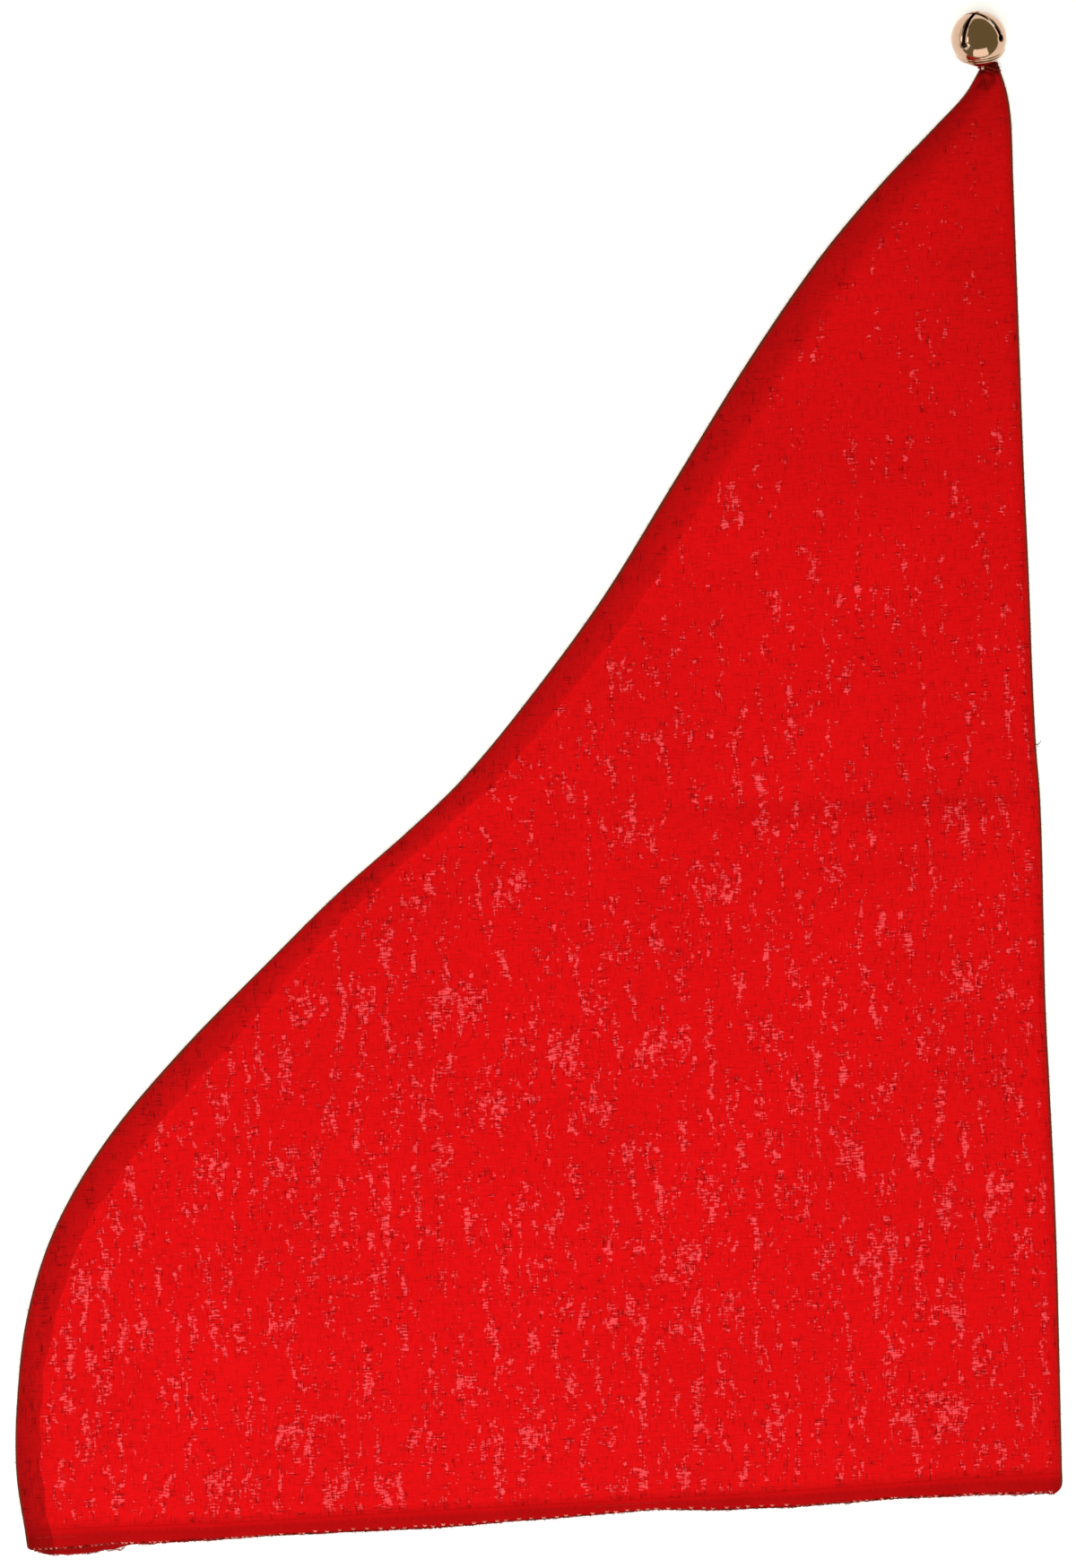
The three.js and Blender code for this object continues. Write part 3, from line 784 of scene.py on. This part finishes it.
# How far the hem hangs below the brim's even line, at shares of the way from the seam
HEM_DROPS = [
    (0, 1.2), (0.05, 1.5), (0.085, 1.2), (0.15, 1.8), (0.23, 1.5), (0.31, 1.8), (0.39, 2.2), (0.47, 1.5),
    (0.55, 0.9), (0.6, 0.4), (0.67, 1.4), (0.75, 1.3), (0.83, 0.35), (0.91, 0.35), (1, 0.6),
]

# What the hem keeps of its thickness at both corners, and how far in it gets it back
HEM_THIN = 0.25
HEM_EASE = 9

# Loops round the cut edge. The needle's stitches show over two stretches of the brim.
LOOP_PITCH = 2.2
LOOP_LIFTS = [0.06, 0.35, 0.66, 0.7, 0.66, 0.35, 0.06]
LOOP_OUT = [0.14, 0.25, 0.27, 0.29, 0.27, 0.25, 0.14]
LOOP_RADIUS = 0.07
NEEDLE_STRETCHES = [(0, 13), (157, 176)]
NEEDLE_RADIUS = 0.08
NEEDLE_LIFT = 0.62
NEEDLE_TONE = 0.62

# Knots and short threads along the edge, with a stretch of bold knots and one of dark threads
KNOT_PITCH = 1.5
KNOT_SIZES = (0.13, 0.21)
KNOT_TONES = (0.05, 0.65, 0.75, 0.95)
BOLD_STRETCH = (80, 215)
BOLD_PITCH = 3.2
BOLD_SIZES = (0.17, 0.31)
BOLD_LIFTS = (0.03, 0.12)
BOLD_TONE = 0.8
EDGE_TONES = (0.1, 0.2, 0.35, 0.4, 0.6)
DARK_STRETCH = (50, 250)
DARK_BELOW = 0.6

FUZZ_COUNT = 1500
FUZZ_RADIUS = 0.035
FUZZ_TONES = (0.05, 0.15, 0.3, 0.45, 0.6)


def brim_columns():
    """How far the brim's columns are from the seam's edge."""
    values = np.linspace(0, 1, 800)
    s = station(0)
    start, stop = s.seam_cap, s.width - s.fold_cap
    return values, top_distance(values, s, start, stop), stop + (start - stop) * values


BRIM_VALUES, BRIM_UPPER, BRIM_LOWER = brim_columns()


def corner_lift(away, radius):
    inside = np.clip(radius - away, 0, radius)
    return radius - np.sqrt(radius**2 - inside**2)


def hem_points(zone, value, lift, out):
    """Points on the hem. lift: from 0 at its lower edge to 1 at its top. out: from the cloth."""
    zone, value, lift, out = np.broadcast_arrays(zone, value, lift, out)
    height = hem_heights(zone, value) * lift
    share = np.maximum(height, 0) / HAT_HEIGHT
    points = surface(zone, value, share, 0)
    outwards = surface(zone, value, share, -1, fine=False) - surface(zone, value, share, 0, fine=False)
    from_seam, from_fold = points[..., 0] + BRIM_REACH, -points[..., 0]
    thin = mix(HEM_THIN, 1, smooth(from_seam, 0, HEM_EASE) * smooth(from_fold, 0, HEM_EASE))
    points = points + outwards * (out * np.where(out > 0, thin, 1))[..., None]

    ragged = sum(waves(from_seam, 0, *each) for each in RAGGED)
    run = (1 - smooth(from_seam, PEEK_RUN, PEEK_RUN + 3)) * smooth(from_seam, 1, 9)
    under = 1 - smooth(points[..., 2], 1, 3.4)
    peek = under * (mix(PEEK_REST, PEEK, run) + ragged * mix(0.5, 1.2, run))
    slack = waves(from_seam, 0, *SLACK) * smooth(from_seam, 0, 10)
    slack = slack - np.interp(from_seam / BRIM_WIDTH, *zip(*HEM_DROPS))
    corner = corner_lift(from_fold, FOLD_CORNER) + corner_lift(from_seam, SEAM_CORNER)
    points[..., 1] += (1 - np.clip(lift, 0, 1)) * (corner - peek + slack) + np.minimum(height, 0)
    points[..., 2] = np.maximum(points[..., 2], HEM_FLOOR)
    return points


def hem_band(material):
    zone, value = around(*HEM_COLUMNS)
    along = np.hypot(*surface(zone, value, 0, 0, fine=False)[:, :2].T)
    swell = HEM_SWELL * np.sin(2 * pi * along / HEM_SWELL_PITCH)
    points = np.array([hem_points(zone, value, lift, out + swell * (out > 0)) for lift, out in HEM_PROFILE])
    faces = ring_faces(len(HEM_PROFILE), len(zone), closed=True)
    piece = make_mesh("hem_overlock", placed(points), faces, material)
    lifts = np.array([lift for lift, _ in HEM_PROFILE])[:, None] + 0 * value
    attributes_of(piece, zone, value, lifts * hem_heights(zone, value) / HAT_HEIGHT)
    give(piece, "lift", lifts)
    ride(piece, "overlock", "hem_band")


def along_hem(upper, places, lifts, out):
    """A path on the hem through distances from the seam's edge."""
    places = np.array(places)
    zone = np.full(len(places), TOP if upper else UNDER)
    if upper:
        value = np.interp(places, BRIM_UPPER, BRIM_VALUES)
    else:
        value = np.interp(-places, -BRIM_LOWER, BRIM_VALUES)
    return hem_points(zone, value, lifts, out)


def add_loops(strands, draw, upper):
    place = 3
    while place < BRIM_REACH - 3.5:
        pitch = LOOP_PITCH * draw.uniform(0.92, 1.08)
        middle, end = place + pitch / 2, place + pitch
        near, far = 0.12 * pitch, 0.2 * pitch
        places = [place, place + far, middle - near, middle, middle + near, end - far, end]
        strands.add(along_hem(upper, places, LOOP_LIFTS, LOOP_OUT), LOOP_RADIUS, HIDDEN)
        if any(start < place < stop for start, stop in NEEDLE_STRETCHES):
            needle = [place + 0.1 * pitch, middle, end - near]
            path = along_hem(upper, needle, NEEDLE_LIFT, [0.22, 0.34, 0.22])
            strands.add(path, NEEDLE_RADIUS, NEEDLE_TONE)
        place = end


def add_knots(strands, draw):
    place = 2
    while place < BRIM_REACH - 2:
        bold = BOLD_STRETCH[0] < place < BOLD_STRETCH[1]
        pitch = (BOLD_PITCH if bold else KNOT_PITCH) * draw.uniform(0.7, 1.3)
        size = draw.uniform(*(BOLD_SIZES if bold else KNOT_SIZES))
        reach = 0.3 * min(pitch, 2)
        up = draw.uniform(*BOLD_LIFTS) if bold else 0
        knot = [place + reach * step for step in (-1, -0.3, 0.3, 1)]
        path = along_hem(True, knot, [up + lift for lift in (0.12, 0.04, 0.03, 0.1)], [0.1, 0.24, 0.24, 0.1])
        tone = draw.choice(KNOT_TONES)
        strands.add(path, [0.5 * size, size, size, 0.5 * size], max(tone, BOLD_TONE) if bold else tone, 6)
        place += pitch


def add_edge_threads(strands, draw, upper):
    place = 1.5
    while place < BRIM_REACH - 1.5:
        span = draw.uniform(0.5, 1.1)
        size = draw.uniform(0.07, 0.13)
        dip = draw.uniform(-0.07, 0.01)
        tone = draw.choice(EDGE_TONES)
        if DARK_STRETCH[0] < place < DARK_STRETCH[1] and tone < DARK_BELOW:
            tone = 0
        loop = [place + span * step for step in (0, 0.3, 0.7, 1)]
        out = [-0.1, 0.08, 0.08, -0.1] if upper else [-0.5, -0.8, -0.8, -0.5]
        strands.add(along_hem(upper, loop, [0.03, dip, dip, 0.02], out), size, tone)
        place += span * draw.uniform(0.5, 1)


def add_fuzz(strands, draw, upper):
    places = [draw.uniform(1.2, BRIM_REACH - 1.2) for _ in range(FUZZ_COUNT)]
    lifts = [draw.uniform(-0.04, 0.1) for _ in places]
    for root in along_hem(upper, places, lifts, -0.1):
        bent = fibre(draw, root, (0, -1, 0.2), draw.uniform(0.2, 0.7))
        strands.add(bent, FUZZ_RADIUS, draw.choice(FUZZ_TONES), 3)


def hem_threads(material):
    draw, strands = random.Random(5), Strands()
    for upper in (True, False):
        add_loops(strands, draw, upper)
    add_knots(strands, draw)
    for add in (add_edge_threads, add_fuzz):
        for upper in (True, False):
            add(strands, draw, upper)
    ride(strands.piece("hem_threads", material, placed), "overlock")


# The turnings inside the seam, which end short of the brim and the tip. Their section is in shares
# of their width and in heights.
TURNING_ENDS = (7, 25)
TURNING_ROWS = 240
TURNING_LIMIT = 0.4
TURNING_UNEVEN = (0.25, 3, 51)
TURNING_PROFILE = [
    (0, 0), (0, 0.12), (0.5, 0), (0.96, 0), (1, 0.1), (1.01, 0.4), (0.99, 0.68), (0.95, 0.78),
    (0.94, 0.86), (0.97, 0.95), (0.985, 1.2), (0.96, 1.52), (0.9, 1.6), (0.5, 1.6), (0, 1.6), (-0.05, 0.8),
]
TURNING_LOOK = {"band": 0.4, "from_fold": 20, "share": 0.3, "crease": 0, "tuck": 0, "rise": 20}


def seam_turnings(material):
    """The two cut edges turned inwards along the seam, one on the other."""
    first, last = TURNING_ENDS
    share = np.linspace(first / HAT_HEIGHT, 1 - last / HAT_HEIGHT, TURNING_ROWS)[:, None]
    s = station(share)
    outer = s.seam_height / 2 + CLEARANCE
    reach = np.minimum(band_width(s), TURNING_LIMIT * s.width)
    uneven = waves(share * HAT_HEIGHT, 0, *TURNING_UNEVEN)
    rings = []
    for across, z in TURNING_PROFILE:
        away = outer + (reach - outer) * across + uneven * (across > 0.9)
        x, y = in_plan(s, s.width - away)
        rings.append(np.stack([x, y, 0 * x + CLOTH + CLEARANCE + z], -1)[:, 0])
    points = np.stack(rings, 1)
    faces = ring_faces(TURNING_ROWS, len(TURNING_PROFILE))
    piece = make_mesh("seam_turnings", placed(points), faces, material)
    give(piece, "weave", points, "FLOAT_VECTOR", "vector")
    for name, value in TURNING_LOOK.items():
        give(piece, name, np.full(points.shape[:2], value))
    ride(piece, "cloth", "seam_allowance")


# Short threads across the seam's groove, which end short of the brim and the tip
STITCH_ENDS = (7, 30)
STITCH_PITCHES = (2.5, 2.9)
STITCH_RADIUS = 0.13


def seam_stitches(material):
    draw, strands = random.Random(8), Strands()
    shares = np.linspace(0, 1, 4000)
    lengths = distances_along(np.stack(edges(shares)[2:], -1))
    place, last = STITCH_ENDS
    while place < lengths[-1] - last:
        share = np.interp(place + np.array([0, 0.3, 0.6, 0.9, 1.2]), lengths, shares)
        path = surface(SEAM, [0.37, 0.44, 0.5, 0.56, 0.63], share, [0.15, 0, -0.2, 0, 0.15])
        strands.add(path, STITCH_RADIUS, HIDDEN)
        place += draw.uniform(*STITCH_PITCHES)
    ride(strands.piece("seam_stitches", material, placed), "tie_thread")


# Fuzz along the edges: zone, way it points and number of fibres
EDGE_FUZZ = [(SEAM, (-0.8, 0.5, 0.3), 900), (FOLD, (1, 0, 0.2), 600)]

# The loose thread that stands out at the fold: share of the height, and its bends
TWIG_SHARE = 0.52327
TWIG = [(-0.3, 0, 0), (0.5, -0.2, 0.2), (1, 0, 0.4), (1.4, 0.5, 0.4), (1.6, 1.1, 0.3)]
TWIG_BRANCH = [(0.5, -0.2, 0.2), (0.8, -0.7, 0.3), (1.2, -1, 0.4)]


def loose_threads(material):
    draw, strands = random.Random(13), Strands()
    for zone, way, count in EDGE_FUZZ:
        shares = np.array([draw.uniform(0.02, 0.99) for _ in range(count)])
        values = np.array([draw.uniform(0.3, 0.75) for _ in shares])
        for root in surface(zone, values, shares, 0.02):
            bent = fibre(draw, root, way, draw.uniform(0.15, 0.45))
            strands.add(bent, FUZZ_RADIUS, draw.uniform(0.05, 0.35), 3)
    root = surface(FOLD, 0.4, TWIG_SHARE, 0.1)
    strands.add(root + np.array(TWIG), [0.13, 0.13, 0.12, 0.1, 0.07], 0)
    strands.add(root + np.array(TWIG_BRANCH), 0.08, 0)
    ride(strands.piece("loose_threads", material, placed), "tie_thread")


# The bell. Angles are from its slotted pole, and the tilt and turn are the pole's.
BELL_RADIUS = 7.8
BELL_WALL = 0.6
BELL_INSIDE = BELL_RADIUS - BELL_WALL
RIM_ANGLE = radians(124)
RIM_GAP = 0.15
RIM_BACK = 1.15
SLOT_WIDTH = 1.1
SLOT_HOLE_RADIUS = 1.1
SLOT_HOLE_ANGLE = radians(82)
SLOT_TURN = radians(53)
SLOT_LIP = 0.1
SLOT_LIP_WIDTH = 0.28
PELLET_RADIUS = 2.5
PELLET_FALL = 4.4
PELLET_FLATS = 9
PELLET_FLAT_AT = 0.975 * PELLET_RADIUS
LOOP_BEND = 1.35
LOOP_WIRE = 0.35
LOOP_OUTSIDE = 8
LOOP_END = 2.25
BELL_TILT = radians(24)
BELL_TURN = radians(96.5) + LAY_TURN
THREAD_RADIUS = 0.3
THREAD_TURNS = 3
TIP_STITCHES = 5
TIP_STITCH_PITCH = 0.42
LOOSE_ENDS = 26

# The crimped rim: distance back from its edge, and how far out
RIM_PROFILE = [
    (0.95, 0), (0.86, 0.04), (0.8, 0.14), (0.68, 0.2), (0.5, 0.23), (0.3, 0.23), (0.14, 0.19), (0.05, 0.1),
    (0, -0.02),
]

# Columns round the cap, and across each quarter of the cup
CAP_STEPS = 120
CUP_STEPS = 30


def bell_axes():
    flat = cos(BELL_TILT)
    z = Vector((cos(BELL_TURN) * flat, sin(BELL_TURN) * flat, sin(BELL_TILT)))
    x = Vector((z.y, -z.x, 0)).normalized()
    return np.array([x, z.cross(x), z])


def pellet_middle():
    low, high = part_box("bell_pellet")
    return np.array((low + high) / 2) / MM


def bell_middle():
    return pellet_middle() + [0, 0, PELLET_FALL]


def bell_placed(points):
    """Points of the bell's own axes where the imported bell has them, in metres."""
    return (np.asarray(points) @ bell_axes() + bell_middle()) * MM


def pellet_placed(points):
    return (points + pellet_middle()) * MM


def in_metres(points):
    return points * MM


def rim_rows(angle):
    """Radii and angles from the pole over a dome's rim and round its edge."""
    edge = angle - RIM_GAP / BELL_RADIUS
    rows = [(BELL_RADIUS + out, edge - back / BELL_RADIUS) for back, out in RIM_PROFILE]
    return rows + [(BELL_INSIDE + 0.06, edge), (BELL_INSIDE, edge - 0.012)]


def on_sphere(radius, polar, turn):
    radius, polar, turn = np.broadcast_arrays(radius, polar, turn)
    flat = radius * np.sin(polar)
    return np.stack([flat * np.cos(turn), flat * np.sin(turn), radius * np.cos(polar)], -1)


def add_rows(mesh, rows):
    """Faces between rows of points. What meets is merged at the end."""
    made = [[mesh.verts.new(point) for point in row] for row in rows]
    for here, there in zip(made, made[1:]):
        for j in range(len(here) - 1):
            mesh.faces.new((here[j], there[j], there[j + 1], here[j + 1]))
    return made


def mesh_piece(name, mesh, material, place):
    bmesh.ops.remove_doubles(mesh, verts=mesh.verts, dist=1e-4)
    bmesh.ops.recalc_face_normals(mesh, faces=mesh.faces)
    for vert, point in zip(mesh.verts, place(np.array([vert.co for vert in mesh.verts]))):
        vert.co = point
    data = bpy.data.meshes.new(name)
    mesh.to_mesh(data)
    mesh.free()
    piece = finished(name, data, material)
    data.set_sharp_from_angle(angle=SHARP_ANGLE)
    return piece


def slot_edges():
    """Angles from the slotted pole, and the turn from a slot's middle to its edge."""
    hole = SLOT_HOLE_RADIUS / BELL_RADIUS
    first = asin(SLOT_WIDTH / sqrt(2) / BELL_RADIUS)
    neck = SLOT_HOLE_ANGLE - sqrt(SLOT_HOLE_RADIUS**2 - (SLOT_WIDTH / 2) ** 2) / BELL_RADIUS
    turns = np.linspace(acos((SLOT_HOLE_ANGLE - neck) / hole), pi, 17)
    polar = np.concatenate([
        np.linspace(first, neck, 34)[:-1],
        SLOT_HOLE_ANGLE - hole * np.cos(turns),
        np.linspace(SLOT_HOLE_ANGLE + hole, RIM_ANGLE - RIM_BACK / BELL_RADIUS, 10)[1:],
    ])
    offset = BELL_RADIUS * (polar - SLOT_HOLE_ANGLE)
    circle = np.sqrt(np.maximum(SLOT_HOLE_RADIUS**2 - offset**2, 0))
    half = np.where(polar < SLOT_HOLE_ANGLE, np.maximum(SLOT_WIDTH / 2, circle), circle)
    half[polar > SLOT_HOLE_ANGLE + hole - 1e-6] = 0
    inset = np.arcsin(np.minimum(1, half / (BELL_RADIUS * np.sin(polar))))
    return polar, np.minimum(inset, pi / 4)


def slotted_cup(material):
    """The cup, in quarters that meet beyond the slots' round holes."""
    polar, inset = slot_edges()
    v = 0.5 - 0.5 * np.cos(pi * np.linspace(0, 1, CUP_STEPS + 1))
    mesh = bmesh.new()
    for quarter in range(4):
        base = SLOT_TURN + quarter * pi / 2
        rows = []
        for p, d in zip(polar, inset):
            angle = d + (pi / 2 - 2 * d) * v
            edge = BELL_RADIUS * np.sin(p) * np.minimum(angle - d, pi / 2 - d - angle)
            lip = SLOT_LIP * np.exp(-((edge / SLOT_LIP_WIDTH) ** 2)) * (d > 0)
            rows.append(on_sphere(BELL_RADIUS - lip, p, base + angle))
        rows += [on_sphere(radius, p, base + pi / 2 * v) for radius, p in rim_rows(RIM_ANGLE)]
        for p, d in zip(polar[::-1], inset[::-1]):
            rows.append(on_sphere(BELL_INSIDE, p, base + d + (pi / 2 - 2 * d) * v))
        made = add_rows(mesh, rows)
        # The walls of the slots
        for i in range(len(polar) - 1):
            if inset[i] > 0 or inset[i + 1] > 0:
                for j, way in ((0, 1), (CUP_STEPS, -1)):
                    corners = (made[i][j], made[-1 - i][j], made[-2 - i][j], made[i + 1][j])
                    mesh.faces.new(corners[::way])
    ride(mesh_piece("bell_cup", mesh, material, bell_placed), "bell_metal", "bell_slotted_half")


def looped_cap(material):
    """The cap with the wire loop, its pole turned away from the slots."""
    reach = pi - RIM_ANGLE
    last = reach - RIM_BACK / BELL_RADIUS
    profile = [(BELL_RADIUS, p) for p in np.linspace(0, last, 26)] + rim_rows(reach)
    profile += [(BELL_INSIDE, p) for p in np.linspace(last, 0, 20)]
    turns = np.linspace(0, 2 * pi, CAP_STEPS + 1)
    mesh = bmesh.new()
    add_rows(mesh, [on_sphere(radius, pi - p, turns) for radius, p in profile])
    ride(mesh_piece("bell_cap", mesh, material, bell_placed), "bell_metal", "bell_loop_half")

    strands = Strands()
    bend = np.linspace(-LOOP_END, LOOP_END, 40)
    path = np.stack([0 * bend, LOOP_BEND * np.sin(bend), -LOOP_OUTSIDE - LOOP_BEND * np.cos(bend)], -1)
    strands.add(path, LOOP_WIRE, sides=16)
    ride(strands.piece("bell_loop", material, bell_placed), "bell_metal")


def pellet(material):
    draw = random.Random(2)
    mesh = bmesh.new()
    bmesh.ops.create_icosphere(mesh, subdivisions=4, radius=PELLET_RADIUS)
    flats = [Vector([draw.gauss(0, 1) for _ in range(3)]).normalized() for _ in range(PELLET_FLATS)]
    for vert in mesh.verts:
        for flat in flats:
            over = vert.co.dot(flat) - PELLET_FLAT_AT
            if over > 0:
                vert.co -= flat * over
    ride(mesh_piece("bell_ball", mesh, material, pellet_placed), "pellet_steel", "bell_pellet")


def tie_thread(material):
    """The thread that ties the bell to the tip, with its stitches."""
    axes = bell_axes()
    level, axis = axes[0], axes[2]
    eye = bell_middle() - axis * (BELL_RADIUS + THREAD_RADIUS + CLEARANCE)
    forwards = turned([*tip_direction(), 0])
    across = np.array([forwards[1], -forwards[0], 0])
    centre = turned(tip_end()) + OFFSET - forwards * STITCH_BACK
    half = station(1 - (STITCH_BACK - TIP_ROUND) / HAT_HEIGHT).width / 2
    over = TIP_HEIGHT / 2 + 0.3
    draw, strands = random.Random(4), Strands()

    # Turns through the bell's loop and round the tip
    for turn in range(THREAD_TURNS):
        room = 0.3 - 0.08 * turn
        around_tip = [
            (half / 2, over), (half, over), (half + room, room), (half + room, 0), (half / 2, 0),
            (-half / 2, 0), (-half - room, 0), (-half - room, room),
        ]
        path = [eye, eye + level * (LOOP_WIRE + room)]
        for side, rise in around_tip:
            jitter = np.array([draw.uniform(-0.2, 0.2) for _ in range(3)]) * min(turn, 1)
            path.append(centre + across * side + np.array([0, 0, rise]) + jitter)
        path.append(eye - level * (LOOP_WIRE + room))
        radius = THREAD_RADIUS * (1 - 0.2 * min(turn, 1))
        plied(strands, curve_through(path, 110), radius, plies=3, pitch=1.5, tone=0.05 + 0.05 * turn)

    # Stitches over the tip's edge
    for k in range(TIP_STITCHES):
        back = 0.2 + TIP_STITCH_PITCH * k
        ring = []
        for t in np.linspace(0, 2 * pi, 15):
            side = cos(t) * (half + 0.02 + 0.1 * k)
            rise = TIP_HEIGHT / 2 * (1 + sin(t) * 1.06)
            spot = centre + across * side + forwards * (STITCH_BACK - 0.9 - back + 0.25 * sin(t + k))
            ring.append([spot[0], spot[1], max(rise, 0.12)])
        strands.add(ring, STITCH_RADIUS, 0.05 + 0.04 * k)

    # Loose ends of the cloth's own threads
    for _ in range(LOOSE_ENDS):
        root = centre + across * draw.uniform(-half, half) + forwards * draw.uniform(0.4, 1.8)
        root[2] = TIP_HEIGHT * draw.uniform(0.3, 1)
        bent = fibre(draw, root, (0.2, 0.4, 0.5), draw.uniform(0.4, 1.1))
        strands.add(bent, 0.04, draw.uniform(0, 0.3), 3)
    ride(strands.piece("tie_thread", material, in_metres), "tie_thread", "bell_thread")


# The camera, floor and lights, in metres. SEEN_HEIGHT of the floor fills the picture.
SENSOR_HEIGHT = 36
CAMERA_PLACE = (-0.0001, -0.0004, 5)
SEEN_HEIGHT = 0.43725
FLOOR_RADIUS = 6
FLOOR_SIDES = 64
WORLD_COLOUR = (0.226, 0.203, 0.106, 1)

# Name, place, target, width and height, power, and whether the bell reflects it
LIGHTS = [
    ("overhead", (0, -0.3, 1.6), (0, -0.08, 0), (1.5, 1.5), 24, False),
    ("card_left", (-1.3, 0.2, 0.42), (0.12, 0.2, 0.1), (2.2, 0.75), 4.2, True),
    ("card_high_left", (-0.95, 0.12, 0.86), (0.12, 0.2, 0), (0.42, 0.2), 0.9, True),
    ("card_front", (0.3, -1.1, 0.62), (0.12, 0.1, 0), (1.4, 0.95), 6, True),
    ("card_low_left", (-0.6, -0.25, 0.6), (0.12, 0.2, 0), (0.2, 0.2), 0.35, True),
]


def add_camera():
    data = bpy.data.cameras.new("camera")
    data.sensor_fit = "VERTICAL"
    data.sensor_height = SENSOR_HEIGHT
    data.clip_end = 50
    data.lens = SENSOR_HEIGHT * CAMERA_PLACE[2] / SEEN_HEIGHT
    camera = link("camera", data)
    camera.location = CAMERA_PLACE
    bpy.context.scene.camera = camera


def add_floor():
    """A floor with a little light of its own, to come out plain white."""
    n = Nodes("pale_floor")
    white = n.tint(n.noise(n.position(), [0.004] * 3), (0.9, 0.9, 0.9, 1), (0.92, 0.92, 0.92, 1))
    glow = {"Emission_Color": (1, 1, 1, 1), "Emission_Strength": 0.4}
    material = n.finish(Base_Color=white, Roughness=0.9, Specular_IOR_Level=0.2, **glow)
    turns = np.linspace(0, 2 * pi, FLOOR_SIDES + 1)[:-1]
    rim = [(FLOOR_RADIUS * cos(a), FLOOR_RADIUS * sin(a), 0) for a in turns]
    make_mesh("floor", rim, [tuple(range(FLOOR_SIDES))], material)


def add_lights():
    """Soft light from above, and pale cards that the bell reflects."""
    world = bpy.data.worlds.new("studio")
    world.use_nodes = True
    world.node_tree.nodes["Background"].inputs["Color"].default_value = WORLD_COLOUR
    bpy.context.scene.world = world
    for name, place, target, size, power, glossy in LIGHTS:
        data = bpy.data.lights.new(name, "AREA")
        data.shape = "RECTANGLE"
        data.size, data.size_y = size
        data.energy = power
        light = link(name, data)
        light.location = place
        way = Vector(target) - Vector(place)
        light.rotation_euler = way.to_track_quat("-Z", "Y").to_euler()
        light.visible_glossy = glossy
        light.visible_camera = False


def main():
    add_camera()
    add_floor()
    add_lights()
    cloth, thread, metal = cloth_material(), thread_material(), metal_material()
    body = cloth_body(cloth)
    hem_band(hem_material())
    hem_threads(thread)
    seam_turnings(cloth)
    seam_stitches(thread)
    loose_threads(thread)
    slotted_cup(metal)
    looped_cap(metal)
    pellet(steel_material())
    tie_thread(thread)
    bpy.context.scene.view_settings.view_transform = "Standard"


main()
